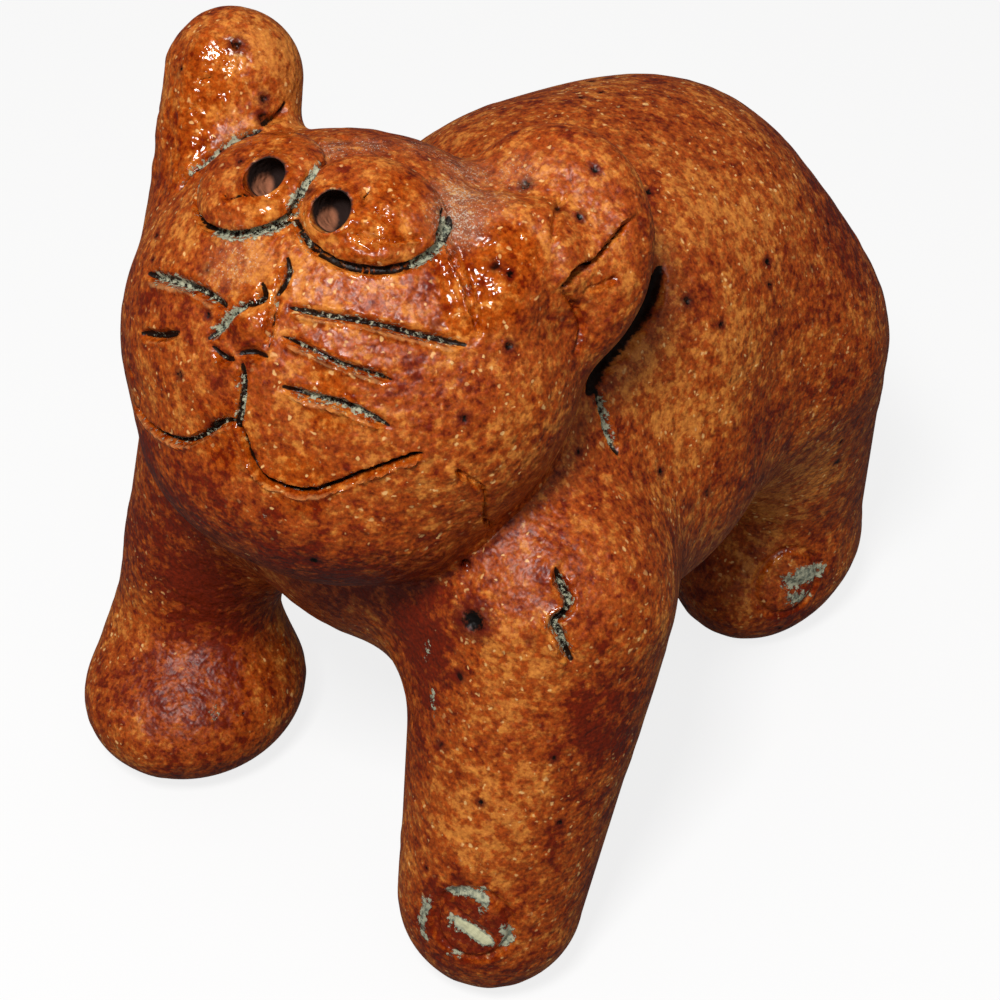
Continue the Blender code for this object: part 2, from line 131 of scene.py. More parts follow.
# Needle strokes on the face: (corners, width, depth, raised lower lip, grit, black)
STROKES = {
    "bridge of the nose": (((-1.5, 6.0), (-1.0, 4.6), (-1.2, 2.9)), 1.1, 0.8, 0.35, 0.35, 0.9),
    "nose ridge": (((-1.2, 3.2), (-1.0, 1.2), (-0.6, -1.4)), 0.8, 0.6, 0.35, 0.3, 0.55),
    "bridge notch": (((-2.8, 3.4), (-2.4, 2.4), (-2.9, 1.4)), 1.1, 0.8, 0.12, 0.3, 1.0),
    "nose wing": (((-3.0, 1.9), (-4.5, 0.4), (-6.5, -2.3)), 1.2, 0.8, 0.25, 0.7, 0.85),
    "nostril line": (((-5.8, -2.8), (-4.6, -3.4), (-3.6, -3.2)), 1.2, 0.9, 0.15, 0.35, 1.0),
    "left nostril": (((-3.2, -2.6), (-2.1, -2.2), (-0.6, -2.1)), 1.2, 0.9, 0.15, 0.1, 0.9),
    "philtrum": (((-2.6, -3.4), (-2.2, -5.8), (-2.2, -8.4)), 1.2, 0.9, 0.15, 0.55, 1.0),
    "mouth, right half": (
        ((-14.9, -10.3), (-12.3, -11.3), (-9.9, -11.6), (-7.5, -11.3), (-5.6, -10.2), (-4.1, -8.8),
         (-2.3, -8.0)),
        0.9, 0.8, 0.30, 0.35, 0.9,
    ),
    "mouth, left half": (
        ((-2.3, -8.0), (-1.4, -9.4), (-0.6, -10.9), (1.0, -12.2), (4.3, -12.2), (6.5, -11.0), (8.8, -9.3),
         (13.0, -6.3)),
        0.9, 0.9, 0.50, 0.15, 0.9,
    ),
    "right upper whisker": (
        ((-15.3, 1.2), (-11.7, 1.4), (-8.7, 1.4), (-5.6, 0.8)),
        1.3, 0.9, 0.30, 0.55, 1.0,
    ),
    "right lower whisker": (((-14.3, -3.8), (-11.9, -3.4), (-9.8, -2.6)), 1.2, 0.9, 0.20, 0.25, 1.0),
    "right cheek nick": (((-15.9, -7.2), (-15.1, -7.9)), 0.8, 0.6, 0.10, 0.1, 0.9),
    "left upper whisker": (
        ((0.3, 2.2), (3.5, 2.5), (7.2, 2.9), (10.3, 3.0), (14.1, 3.2)),
        1.1, 0.8, 0.42, 0.35, 0.9,
    ),
    "left middle whisker": (
        ((0.4, -0.2), (2.7, -0.5), (5.0, -0.9), (7.2, -1.0), (9.7, -1.1)),
        0.9, 0.8, 0.45, 0.4, 0.75,
    ),
    "left lower whisker": (
        ((1.4, -4.1), (3.6, -4.2), (5.8, -4.1), (7.9, -4.3), (10.2, -4.8)),
        1.1, 0.9, 0.50, 0.55, 0.9,
    ),
}

# Seams and creases of the head, in the same order of values
SEAMS = {
    "brow seam": (
        ((9.2, 12.0), (9.9, 10.8), (11.3, 9.4), (12.7, 7.8), (14.0, 6.0), (14.8, 4.2)),
        1.0, 0.7, 0.2, 0.15, 0.2,
    ),
    "brow seam grit": (((8.6, 13.2), (9.2, 12.0), (9.3, 10.8)), 1.3, 0.6, 0.00, 0.75, 0.8),
    "right ear seam": (
        ((-16.4, 8.6), (-15.3, 11.0), (-13.7, 13.2), (-11.4, 15.6)),
        1.2, 0.8, 0.00, 0.55, 0.7,
    ),
    "right ear notch": (((-11.0, 18.4), (-10.9, 17.2), (-11.6, 16.0)), 1.1, 0.9, 0.00, 0.1, 0.9),
    "right ear crack": (((-18.0, 18.0), (-16.9, 18.3), (-15.9, 18.9)), 0.4, 0.2, 0.05, 0.0, 0.6),
    "right ear nick": (((-17.8, 15.6), (-17.0, 15.7), (-16.2, 16.2)), 0.4, 0.2, 0.05, 0.3, 0.5),
    "left ear wrinkle": (((15.9, 17.2), (16.4, 15.6), (17.0, 14.2), (17.4, 12.8)), 0.8, 0.4, 0.1, 0.0, 0.4),
    "left ear root": (((18.9, 9.6), (19.9, 8.2), (20.4, 6.6), (20.4, 4.6)), 0.8, 0.5, 0.15, 0.0, 0.1),
    "left ear small crease": (((20.2, 10.1), (21.2, 10.9), (22.1, 12.0)), 0.7, 0.3, 0.15, 0.0, 0.1),
    "left eye crease": (((3.4, 9.3), (4.9, 9.3), (6.6, 9.6), (8.6, 10.6)), 0.6, 0.4, 0.20, 0.0, 0.2),
    "left eye nick": (((3.3, 13.1), (3.1, 12.4), (3.6, 11.8)), 0.5, 0.4, 0.15, 0.0, 0.7),
    "left eye second nick": (((4.4, 11.9), (5.1, 11.4), (5.9, 10.7)), 0.5, 0.3, 0.20, 0.0, 0.2),
    "right eye crack": (((-9.2, 9.6), (-8.4, 9.2), (-7.2, 9.8), (-5.8, 9.9)), 0.5, 0.35, 0.12, 0.0, 0.7),
    "right eye small crack": (((-8.3, 9.2), (-7.7, 8.5)), 0.4, 0.3, 0.08, 0.0, 0.6),
    "fold behind the right eye": (((-4.0, 16.6), (-1.5, 16.8), (0.5, 17.2)), 0.9, 0.4, 0.10, 0.0, 0.1),
}
LEFT_EAR_FOLD = ((19.1, 10.2), (19.5, 11.3), (20.0, 12.2), (20.6, 14.0), (21.0, 15.1), (21.4, 16.4))
LEFT_EAR_FOLD_LOW = ((18.9, 9.9), (19.2, 10.7), (19.6, 11.5), (20.1, 12.3))
# Thin beads of clay that stand up beside a seam, and catch the light: (corners, width, height)
BEADS = {
    "beside the brow seam": (
        ((10.0, 10.1), (11.0, 8.9), (11.9, 7.9), (12.8, 6.7), (13.5, 5.6), (14.1, 4.5)),
        1.3, 0.45,
    ),
    "crease of the left eye": (((3.4, 10.2), (5.0, 10.3), (6.6, 10.6)), 1.1, 0.25),
    "lower edge of the left eye": (((3.2, 8.3), (5.2, 8.0), (7.2, 8.6)), 1.2, 0.25),
}

# Small swellings of the face: (place, height, radius)
SWELLINGS = (
    ((5.3, -11.7), 0.35, 0.6),
    ((-2.9, 0.2), 0.8, 2.4),
    ((5.2, 12.3), 0.25, 1.2),
    ((4.3, 10.6), 0.22, 1.0),
    ((6.4, 8.6), 0.22, 1.4),
)
TORN_CHEEK = ((15.3, -6.9), (16.0, -7.3), (16.8, -7.7), (17.3, -8.3), (17.1, -9.7), (16.6, -11.6))

# Grit packed round the eye pellets, without a groove of its own: (corners, width, share)
GRIT_ARCS = {
    "left of the right eye": (((-12.8, 10.6), (-12.6, 8.6), (-11.6, 7.2)), 0.9, 0.5),
    "under the right eye": (((-9.8, 6.5), (-7.6, 6.2), (-5.5, 6.8), (-3.5, 8.0), (-2.2, 9.1)), 0.8, 0.65),
    "between the eyes": (((-2.6, 14.2), (-2.2, 12.5), (-2.7, 10.6), (-2.1, 9.0)), 0.9, 0.65),
    "under the left eye": (((-1.9, 8.7), (-0.6, 7.6), (0.6, 7.0)), 0.8, 0.4),
    "right of the left eye": (((8.2, 7.9), (9.2, 9.4), (9.6, 11.4)), 1.0, 0.75),
    "smudge on the chin": (((0.4, -15.2), (1.6, -15.5)), 1.0, 0.5),
}

# Cracks in the body: (corners in space, width, depth, grit, black). The black in the cleft behind
# the left ear and in the chest slit paints the shade that falls into these real dips.
CRACKS = {
    "shoulder crack": (
        ((17.0, -8.1, 54.0), (17.9, -8.3, 52.6), (18.4, -8.6, 51.3), (19.4, -8.8, 50.1), (20.1, -8.8, 48.9)),
        1.3, 0.9, 0.8, 0.9,
    ),
    "left leg crack": (
        ((23.7, -22.1, 46.5), (24.7, -22.5, 45.7), (25.8, -22.8, 44.7), (26.0, -23.5, 43.9),
         (25.5, -24.5, 43.1),
         (26.4, -24.6, 42.2), (27.1, -24.7, 40.9), (27.6, -24.5, 39.8)),
        1.3, 1.1, 0.5, 0.95,
    ),
    # A real dip, whose black paints the shadow that the left ear casts into it
    "cleft behind the left ear, with painted shadow": (
        ((14.6, 3.6, 59.6), (15.4, 1.6, 57.9), (15.7, -0.8, 56.7), (15.9, -3.7, 55.8),
         (16.2, -6.5, 55.1), (16.8, -8.8, 54.3)),
        3.0, 1.6, 0.0, 1.0,
    ),
    "chest slit, with painted shade": (((15.9, -25.5, 46.0), (17.4, -26.2, 45.3)), 0.8, 0.5, 0.1, 0.5),
}

# Stamps on two paws: height and bearing of each, its oval and its slanting bar
STAMP_SIZE = (7.8, 7.8)
STAMP_BAR = 5.2
STAMP_BAR_TURN_DEG = -35.0
FRONT_STAMP = (12.8, 26.0, 8.9)
HIND_STAMP = (11.0, 60.0, 8.3)

# Pale slip left on the paws and the left leg: (corners in space, width, share)
SLIP = {
    "front stamp, left": (
        ((21.5, -36.4, 13.4), (21.2, -36.9, 11.4), (21.4, -37.4, 9.4), (22.4, -37.6, 8.4)),
        0.8, 0.9,
    ),
    "front stamp, top": (
        ((22.8, -35.9, 14.8), (24.6, -35.2, 15.6), (26.0, -34.7, 15.4), (27.2, -34.5, 14.5)),
        0.9, 1.1,
    ),
    "front stamp, tail": (((26.1, -34.3, 16.8), (26.5, -34.4, 15.6)), 0.8, 0.9),
    "front stamp, right": (((28.3, -34.2, 12.8), (29.0, -33.9, 11.2), (28.5, -34.7, 9.8)), 1.1, 1.0),
    "front stamp, bar": (
        ((23.7, -36.4, 12.6), (25.4, -36.1, 12.1), (27.0, -35.7, 11.2), (28.2, -35.0, 10.4)),
        0.9, 1.8,
    ),
    "front stamp, foot": (((24.2, -37.3, 8.2), (26.1, -36.8, 8.9)), 0.8, 0.6),
    "hind stamp, top": (((21.8, 20.6, 11.2), (23.2, 23.2, 11.4), (24.6, 26.6, 10.8)), 2.2, 0.95),
    "hind stamp, low": (((22.4, 20.8, 9.6), (23.6, 22.8, 8.6), (24.3, 24.6, 8.4)), 1.6, 0.9),
    "leg fleck": (((14.9, -28.9, 37.3), (15.2, -29.4, 34.8)), 0.6, 0.7),
    "leg second fleck": (((16.2, -30.0, 33.2), (17.4, -30.9, 30.9)), 0.7, 0.7),
    "far paw smudge": (((-12.4, -31.4, 11.2), (-10.8, -31.8, 10.4)), 1.2, 0.75),
}

# Burst bubbles in the glaze: (place on the head, radius, depth)
HEAD_PITS = (
    ((12.6, 17.0), 0.55, 0.35),
    ((16.9, 4.0), 0.45, 0.30),
    ((15.4, -2.6), 0.45, 0.25),
    ((-8.8, -5.9), 0.40, 0.25),
    ((-7.0, -0.4), 0.35, 0.20),
    ((-15.1, 21.9), 0.60, 0.50),
    ((-12.1, 18.2), 0.45, 0.35),
    ((-11.8, 16.6), 0.50, 0.45),
    ((-8.9, 12.4), 0.35, 0.30),
    ((17.6, 19.8), 0.45, 0.25),
    ((15.5, 9.6), 0.40, 0.25),
    ((5.0, -18.0), 0.50, 0.20),
)
BODY_PITS = (
    ((17.4, 4.4, 57.0), 0.50, 0.35),
    ((19.8, 6.8, 54.0), 0.40, 0.25),
    ((19.4, -27.9, 41.8), 1.30, 0.60),
    ((16.8, -25.9, 45.7), 0.50, 0.40),
    ((28.6, -27.5, 30.0), 0.35, 0.20),
    ((24.0, -32.0, 25.0), 0.35, 0.20),
    ((10.0, 8.0, 64.0), 0.45, 0.25),
    ((18.0, 16.0, 55.0), 0.45, 0.25),
)
RANDOM_PITS = 60
PIT_SEED = 7

# How far a soft patch fades out, in its own radii
PATCH_REACH = 1.4

# Soft patches of the glaze's tone and of painted shade: (centre in space, radius, how much paler).
# The darker patches paint the shade under the chin and on the chest, belly, legs, flank and rump;
# the paler ones are the glaze's own golden zones.
TONE_AND_SHADE_PATCHES = (
    ((-15.5, -12.0, 77.5), 9.0, 0.9),
    ((13.5, -10.0, 74.0), 9.0, 0.35),
    ((15.5, -20.0, 64.0), 8.0, -0.2),
    ((2.5, -28.0, 72.0), 6.0, 0.8),
    ((-8.0, -28.0, 70.0), 6.0, 0.5),
    ((10.0, -31.0, 60.0), 7.0, 0.3),
    ((24.0, -28.0, 38.0), 7.0, 0.4),
    ((21.0, -24.0, 45.0), 6.0, -0.3),
    ((22.0, 20.0, 26.0), 12.0, 0.9),
    ((21.0, 0.0, 48.0), 10.0, 0.35),
    ((25.0, -31.5, 27.0), 7.0, 0.5),
    ((25.5, -33.0, 19.0), 5.0, 0.5),
    ((30.8, -21.0, 34.0), 5.0, -1.3),
    ((31.0, -24.0, 28.0), 5.0, -1.3),
    ((30.5, -27.0, 22.0), 4.5, -0.9),
    ((14.6, -29.0, 34.0), 5.0, -1.2),
    ((15.5, -30.5, 24.0), 4.0, -0.6),
    ((17.0, 2.0, 52.0), 12.0, 0.5),
    ((-13.0, -34.0, 60.0), 6.0, -0.5),
    ((4.0, -34.0, 46.0), 13.0, -1.4),
    ((-8.0, -34.0, 50.0), 9.0, -1.0),
    ((12.0, -30.0, 44.0), 7.0, -0.6),
    ((15.5, -29.0, 39.0), 4.0, -1.0),
    ((0.0, 0.0, 28.0), 14.0, -0.3),
    ((-19.0, -28.0, 27.0), 9.0, -1.6),
    ((-15.0, -27.0, 19.0), 7.0, -1.2),
    ((-19.0, -30.0, 9.0), 9.0, -0.6),
    ((14.0, 30.0, 20.0), 14.0, -0.2),
    ((10.0, 36.0, 42.0), 18.0, -0.7),
    ((25.0, -36.0, 11.5), 5.0, -1.6),
    ((23.0, 23.0, 8.0), 5.0, -1.2),
    ((-17.0, -14.0, 68.0), 6.0, -0.5),
)

# Where the glaze shines wet, and where it stayed dull: (centre in space, radius, share)
WET_PATCHES = (
    ((-17.4, -20.2, 78.2), 3.6, 1.0),
    ((-17.8, -22.4, 74.7), 3.2, 0.8),
    ((-16.4, -24.4, 71.4), 3.0, 0.7),
    ((13.9, -17.8, 73.3), 3.4, 1.2),
    ((15.7, -21.2, 71.2), 2.6, 0.9),
    ((11.2, -21.8, 73.4), 1.8, 1.2),
    ((13.2, -22.9, 71.9), 2.0, 1.2),
    ((14.9, -23.7, 70.3), 1.8, 1.2),
    ((5.3, -21.3, 75.8), 2.6, 0.9),
    ((4.8, -23.5, 75.4), 2.2, 0.8),
    ((6.6, -25.0, 74.5), 2.8, 1.0),
    ((-3.0, -27.7, 74.4), 3.0, 0.7),
    ((-7.0, -22.0, 77.0), 3.0, 0.5),
    ((0.2, -33.1, 70.3), 3.0, 0.6),
    ((8.2, -32.9, 67.6), 2.0, 0.5),
    ((9.3, -34.2, 64.8), 2.4, 0.8),
    ((1.6, -38.6, 59.7), 3.0, 1.0),
    ((8.4, -37.3, 57.8), 2.8, 1.0),
    ((13.2, -9.9, 74.8), 6.0, -1.0),
    ((16.5, -8.0, 74.0), 6.0, -1.0),
    ((19.5, -6.8, 72.0), 5.0, -0.8),
    ((8.7, -14.8, 74.4), 5.0, -0.8),
    ((9.4, -26.8, 72.3), 3.6, -1.0),
    ((7.9, -29.5, 71.5), 3.0, -1.0),
    ((23.5, -21.3, 47.0), 8.0, -0.7),
    ((-15.7, -32.9, 12.7), 9.0, -0.4),
    ((4.0, -34.0, 46.0), 8.0, -0.3),
)

# Dust baked onto the brow by the left ear and behind the eyes: (place, radius, share)
DUST = (
    ((9.8, 12.6), 2.6, 1.0), ((8.8, 14.6), 2.6, 0.9), ((7.4, 16.6), 2.6, 0.6),
    ((10.8, 15.0), 2.6, 0.5), ((11.2, 17.6), 2.4, 0.3),
    ((3.0, 17.6), 2.4, 0.4), ((-0.5, 16.6), 2.0, 0.5), ((-3.0, 15.4), 1.8, 0.6),
    ((-12.6, 13.4), 1.8, 0.5), ((-6.0, 4.6), 3.0, 0.35),
)

# Camera: where it looks from, as the photograph was taken
CAMERA_AZIMUTH_DEG = 39.0
CAMERA_ELEVATION_DEG = 42.4
CAMERA_ROLL_DEG = 1.1
CAMERA_TARGET = (2.2, -3.4, 28.9)
# Towards the lamp, along the camera's right, up and back
LAMP_AIM = (-0.16, 0.30, 0.94)
FLOOR_SIZE = 4.0
SMOOTH_UNDER_DEG = 55


def linear(colour):
    """An sRGB hex colour as linear red, green and blue."""
    shares = np.array([int(colour[i : i + 2], 16) for i in (1, 3, 5)]) / 255
    return tuple(np.where(shares <= 0.04045, shares / 12.92, ((shares + 0.055) / 1.055) ** 2.4))


def unit(vector):
    vector = np.asarray(vector, float)
    return vector / np.maximum(np.sqrt((vector * vector).sum(axis=-1, keepdims=True)), 1e-12)


def face_axes():
    """The head's directions as columns: to the cat's left, up its face, and out of its face."""
    turn = np.radians(HEAD_TURN_DEG)
    tip = np.radians(HEAD_TIP_DEG)
    left = np.array([np.cos(turn), np.sin(turn), 0.0])
    out = np.array([np.sin(turn) * np.cos(tip), -np.cos(turn) * np.cos(tip), np.sin(tip)])
    return np.stack([left, np.cross(out, left), out], axis=1)


FACE = face_axes()
UPRIGHT = np.eye(3)
# The directions of the left ear's root, which faces out between the face and the left side
LEFT_FRONT = FACE @ np.array([[0.91, 0.0, 0.41], [-0.03, 1.0, 0.07], [-0.41, -0.07, 0.91]])


def on_head(offset):
    return np.array(HEAD) + FACE @ np.array(offset, float)


def blend(first, second, width):
    """Union of two signed distances, smoothed over the given width."""
    overlap = np.maximum(width - np.abs(first - second), 0.0) / width
    return np.minimum(first, second) - overlap * overlap * width / 4


class Ball:
    """An ellipsoid of clay."""

    def __init__(self, centre, size, axes=UPRIGHT, blend=6.0):
        self.centre = np.asarray(centre, float)
        self.half = np.asarray(size, float) / 2
        self.axes = axes
        self.blend = blend

    def distance(self, points):
        local = (points - self.centre) @ self.axes / self.half
        near = np.sqrt((local * local).sum(axis=1))
        slope = np.sqrt((local * local / (self.half * self.half)).sum(axis=1))
        return near * (near - 1) / np.maximum(slope, 1e-9)

    def add_mesh(self):
        bpy.ops.mesh.primitive_uv_sphere_add(segments=64, ring_count=32, radius=1.0)
        shape = Matrix(self.axes).to_4x4() @ Matrix.Diagonal((*self.half, 1.0))
        bpy.context.object.matrix_world = Matrix.Translation(self.centre) @ shape


class Roll:
    """A tapered roll of clay with round ends."""

    def __init__(self, start, end, start_radius, end_radius, blend=8.0):
        self.start = np.asarray(start, float)
        self.end = np.asarray(end, float)
        self.radii = (start_radius, end_radius)
        self.blend = blend

    def distance(self, points):
        along = self.end - self.start
        share = ((points - self.start) * along).sum(axis=1) / (along * along).sum()
        share = np.clip(share, 0.0, 1.0)
        away = points - self.start - share[:, None] * along
        radius = self.radii[0] + share * (self.radii[1] - self.radii[0])
        return np.sqrt((away * away).sum(axis=1)) - radius

    def add_mesh(self):
        along = Vector(self.end - self.start)
        bpy.ops.mesh.primitive_cone_add(
            vertices=64,
            radius1=self.radii[0],
            radius2=self.radii[1],
            depth=along.length,
            location=(self.start + self.end) / 2,
            rotation=along.to_track_quat("Z", "Y").to_euler(),
        )
        for centre, radius in zip((self.start, self.end), self.radii):
            bpy.ops.mesh.primitive_uv_sphere_add(segments=64, ring_count=32, radius=radius, location=centre)


class Group:
    """Lumps pressed onto the first one in turn, each with its own blend."""

    def __init__(self, lumps, blend=8.0):
        self.lumps = lumps
        self.blend = blend

    def distance(self, points):
        total = self.lumps[0].distance(points)
        for lump in self.lumps[1:]:
            total = blend(total, lump.distance(points), lump.blend)
        return total

    def add_mesh(self):
        for lump in self.lumps:
            lump.add_mesh()


class Standing(Group):
    """The clay as it stands: its lowest parts end in flat soles on the ground."""

    def distance(self, points):
        return -blend(-super().distance(points), points[:, 2], SOLE_BLEND)


def hind_leg(side):
    """The left (1) or right (-1) hind leg with its paw."""
    hip = np.add(RUMP, (side * HIP_OFFSET[0], HIP_OFFSET[1], HIP_OFFSET[2]))
    across = RUMP[0] + side * HEEL_SPREAD
    paw = Ball((across, *HIND_PAW), (17.4, 19.2, 17.0), blend=5.0)
    return Group([Roll(hip, (across, *HEEL), 12.7, 8.3), paw])


def body_lumps():
    paw = Ball(RIGHT_PAW, (21.8, 24.0, 15.2), blend=5.0)
    return [
        Roll(CHEST, LOINS, 20.0, 22.5),
        Ball(RUMP, (39.0, 33.6, 41.0)),
        Ball(FLANK, (25.4, 35.8, 24.0)),
        Roll(LEFT_SHOULDER, LEFT_FOOT, 12.0, 8.9),
        Group([Roll(RIGHT_SHOULDER, RIGHT_WRIST, 10.6, 7.9), paw]),
        hind_leg(1),
        hind_leg(-1),
        Roll(NECK_ROOT, HEAD, 15.0, 14.0, blend=6.0),
    ]


def head_lumps():
    """The head with its muzzle and right ear, the left ear, and two swellings at that ear's root."""
    head = Group(
        [
            Ball(HEAD, (42.0, 36.6, 30.0), FACE),
            Ball(on_head((-0.7, -12.5, -1.7)), (30.0, 17.4, 24.8), FACE, blend=4.0),
            Roll(on_head((-15.8, 7.7, -1.5)), on_head((-17.0, 19.5, 0.5)), 6.5, 6.0, blend=3.0),
        ],
        blend=2.0,
    )
    return [
        head,
        Ball(on_head((14.1, 11.8, -2.0)), (19.2, 22.6, 11.0), FACE, blend=2.0),
        Ball(on_head((14.2, 11.2, 5.0)), (11.0, 9.0, 5.8), LEFT_FRONT, blend=3.2),
        Ball(on_head((14.6, 7.2, 7.4)), (5.4, 6.4, 4.2), LEFT_FRONT, blend=2.2),
    ]


def eye_pellet(clay, place, size):
    """A pellet that lies flat on the brow at the given place."""
    seat = drop(clay, [place])[0]
    out = slope(clay, seat[None])[0]
    across = unit(np.cross(FACE[:, 1], out))
    axes = np.stack([across, np.cross(out, across), out], axis=1)
    return Ball(seat - EYE_SINK * out, (*size, EYE_THICKNESS), axes, blend=0.6)


def slope(clay, points, step=0.05):
    """The unit direction out of the clay at each point."""
    found = np.empty_like(points)
    for axis in range(3):
        shift = np.zeros(3)
        shift[axis] = step
        found[:, axis] = clay.distance(points + shift) - clay.distance(points - shift)
    return unit(found)


def snap(clay, points, steps=4):
    """Draws the points onto the skin of the clay, the shortest way."""
    for _ in range(steps):
        move = np.clip(clay.distance(points), -1.0, 1.0)
        points = points - slope(clay, points) * move[:, None]
    return points


def drop(clay, places):
    """Where places given as across and up on the face meet the skin, seen square to the face."""
    out = FACE[:, 2]
    reach = 40.0
    starts = np.array([on_head((*place, reach)) for place in places])
    travel = np.zeros(len(starts))
    for _ in range(90):
        travel = np.minimum(travel + clay.distance(starts - travel[:, None] * out), reach + 4)
    return snap(clay, starts - travel[:, None] * out)


def smooth_path(corners, spacing=0.25):
    """A smooth curve through the corners."""
    corners = np.asarray(corners, float)
    ends = np.concatenate([2 * corners[:1] - corners[1:2], corners, 2 * corners[-1:] - corners[-2:-1]])
    points = [corners[:1]]
    for before, start, end, after in zip(ends, ends[1:], ends[2:], ends[3:]):
        count = max(int(np.sqrt(((end - start) ** 2).sum()) / spacing), 1)
        share = np.arange(1, count + 1)[:, None] / count
        points.append(
            (
                2 * start
                + (end - before) * share
                + (2 * before - 5 * start + 4 * end - after) * share**2
                + (3 * start - before - 3 * end + after) * share**3
            )
            / 2
        )
    return np.concatenate(points)


def ring(centre, across, up, size, spacing=0.25):
    """A closed oval in the plane of two directions."""
    angle = np.linspace(0.0, 2 * np.pi, int(np.pi * max(size) / spacing))[:, None]
    return centre + np.cos(angle) * across * size[0] / 2 + np.sin(angle) * up * size[1] / 2


def ripple(points, size, seed=0.0):
    """Smooth noise from -1 to 1 at each point, with swells about as wide as the given size."""
    return np.array([noise.noise(Vector(p)) for p in points / size + seed])


class Mark:
    """A stroke in the clay: its path on the skin, its size, and what lies in it."""

    def __init__(self, path, width, depth, lip=0.0, grit=0.0, ink=1.0, down=(0, 0, -1)):
        self.path = path
        self.half = width / 2
        self.depth = depth
        self.lip = lip
        self.grit = grit
        self.ink = ink
        self.down = np.asarray(down, float)

    def measure(self, points, out, reach=2.6):
        """Points near the stroke, their distance in half widths, their lower side and its fullness."""
        room = self.half * reach + self.depth
        near = within(points, self.path, room)
        nearest = np.full(len(near), np.inf)
        away = np.zeros((len(near), 3))
        place = np.zeros(len(near))
        gone = 0.0
        for start, end in zip(self.path, self.path[1:]):
            along = end - start
            length = np.sqrt((along * along).sum())
            share = ((points[near] - start) * along).sum(axis=1) / max(length * length, 1e-12)
            share = np.clip(share, 0.0, 1.0)
            offset = points[near] - start - share[:, None] * along
            closer = (offset * offset).sum(axis=1) < nearest
            nearest[closer] = (offset[closer] ** 2).sum(axis=1)
            away[closer] = offset[closer]
            place[closer] = gone + share[closer] * length
            gone += length
        flat = away - (away * out[near]).sum(axis=1, keepdims=True) * out[near]
        gap = np.sqrt((flat * flat).sum(axis=1))
        close = (nearest < room * room) & (gap < self.half * reach)
        near, flat, gap, place = near[close], flat[close], gap[close], place[close]
        closed = ((self.path[0] - self.path[-1]) ** 2).sum() < 1e-6
        ends = np.inf if closed else np.minimum(place, gone - place) / (2.0 * self.half)
        full = np.clip(ends, 0.0, 1.0) ** 0.7 * (1 + 0.3 * ripple(points[near], 2.2, 6.3))
        side = (flat * self.down).sum(axis=1) / np.maximum(gap, 1e-6)
        uneven = 1 + 0.18 * ripple(points[near], 0.9, 3.1) + 0.12 * ripple(points[near], 0.35, 8.7)
        return near, gap / (self.half * uneven * (0.6 + 0.4 * full)), side, full

    def press(self, points, out):
        near, ratio, side, full = self.measure(points, out)
        moved = np.zeros(len(points))
        groove = np.clip(1 - ratio * ratio, 0.0, 1.0) ** 1.6
        burr = np.exp(-(((ratio - 1.2) / 0.42) ** 2)) * (0.35 + 0.65 * np.clip(side, -0.3, 1.0))
        broken = 0.55 + 1.1 * ripple(points[near], 1.4, 5.5)
        moved[near] = self.lip * burr * broken * full - self.depth * groove * (0.25 + 0.75 * full)
        return moved


def stamp_marks(clay, centre, place):
    """The oval and the bar of a stamp on the side of a foot."""
    height, bearing, radius = place
    angle = np.radians(bearing)
    out = np.array([np.sin(angle), -np.cos(angle), 0.0])
    across = np.array([np.cos(angle), np.sin(angle), 0.0])
    up = UPRIGHT[2]
    seat = snap(clay, (np.array([*centre, height]) + out * radius)[None])[0]
    turn = np.radians(STAMP_BAR_TURN_DEG)
    half_bar = (np.cos(turn) * across + np.sin(turn) * up) * STAMP_BAR / 2
    oval = Mark(snap(clay, ring(seat, across, up, STAMP_SIZE)), 1.2, 0.40, 0.08, 0.0, 0.35)
    bar = Mark(snap(clay, smooth_path([seat - half_bar, seat + half_bar])), 1.2, 0.30, 0.0, 0.0, 0.2)
    return [oval, bar]


def all_marks(clay, eyes):
    """Every stroke, seam, groove, bead, crack and stamp."""
    down = -FACE[:, 1]
    marks = []
    for corners, width, depth, lip, grit, ink in [*STROKES.values(), *SEAMS.values()]:
        marks.append(Mark(drop(clay, smooth_path(corners)), width, depth, lip, grit, ink, down))
    marks.append(Mark(drop(clay, smooth_path(LEFT_EAR_FOLD)), 0.7, 0.6, 0.0, ink=0.6))
    marks.append(Mark(drop(clay, smooth_path(LEFT_EAR_FOLD_LOW)), 1.3, 1.5, 0.0))
    marks.append(Mark(drop(clay, smooth_path(TORN_CHEEK)), 0.6, 0.5, 0.2, ink=0.3, down=-FACE[:, 0]))
    # Each eye's groove runs deep and black below, where the black is painted shade under the pellet, and
    # shallow and faint above
    for pellet in eyes:
        oval = ring(pellet.centre, *pellet.axes.T[:2], 2 * pellet.half[:2] + EYE_GROOVE)
        below = (oval - pellet.centre) @ pellet.axes[:, 1] < LOWER_GROOVE * pellet.half[1]
        start = len(oval) // 4
        lower = np.roll(oval, -start, axis=0)[np.roll(below, -start)]
        upper = oval[~below]
        marks.append(Mark(snap(clay, lower), 0.9, 0.8, 0.14, 0.0, 1.0, down))
        marks.append(Mark(snap(clay, upper), 0.9, 0.5, 0.0, 0.0, 0.25, down))
    for corners, width, height in BEADS.values():
        marks.append(Mark(drop(clay, smooth_path(corners)), width, -height, 0.2, 0.0, 0.0, down))
    for corners, width, depth, grit, ink in CRACKS.values():
        lip = CRACK_LIP if width < 2 else 0.0
        path = snap(clay, smooth_path(corners))
        marks.append(Mark(path, width, depth, lip, grit, ink, (-1, 0, 0)))
    marks += stamp_marks(clay, LEFT_FOOT[:2], FRONT_STAMP)
    marks += stamp_marks(clay, (RUMP[0] + HEEL_SPREAD, HIND_PAW[0]), HIND_STAMP)
    return marks


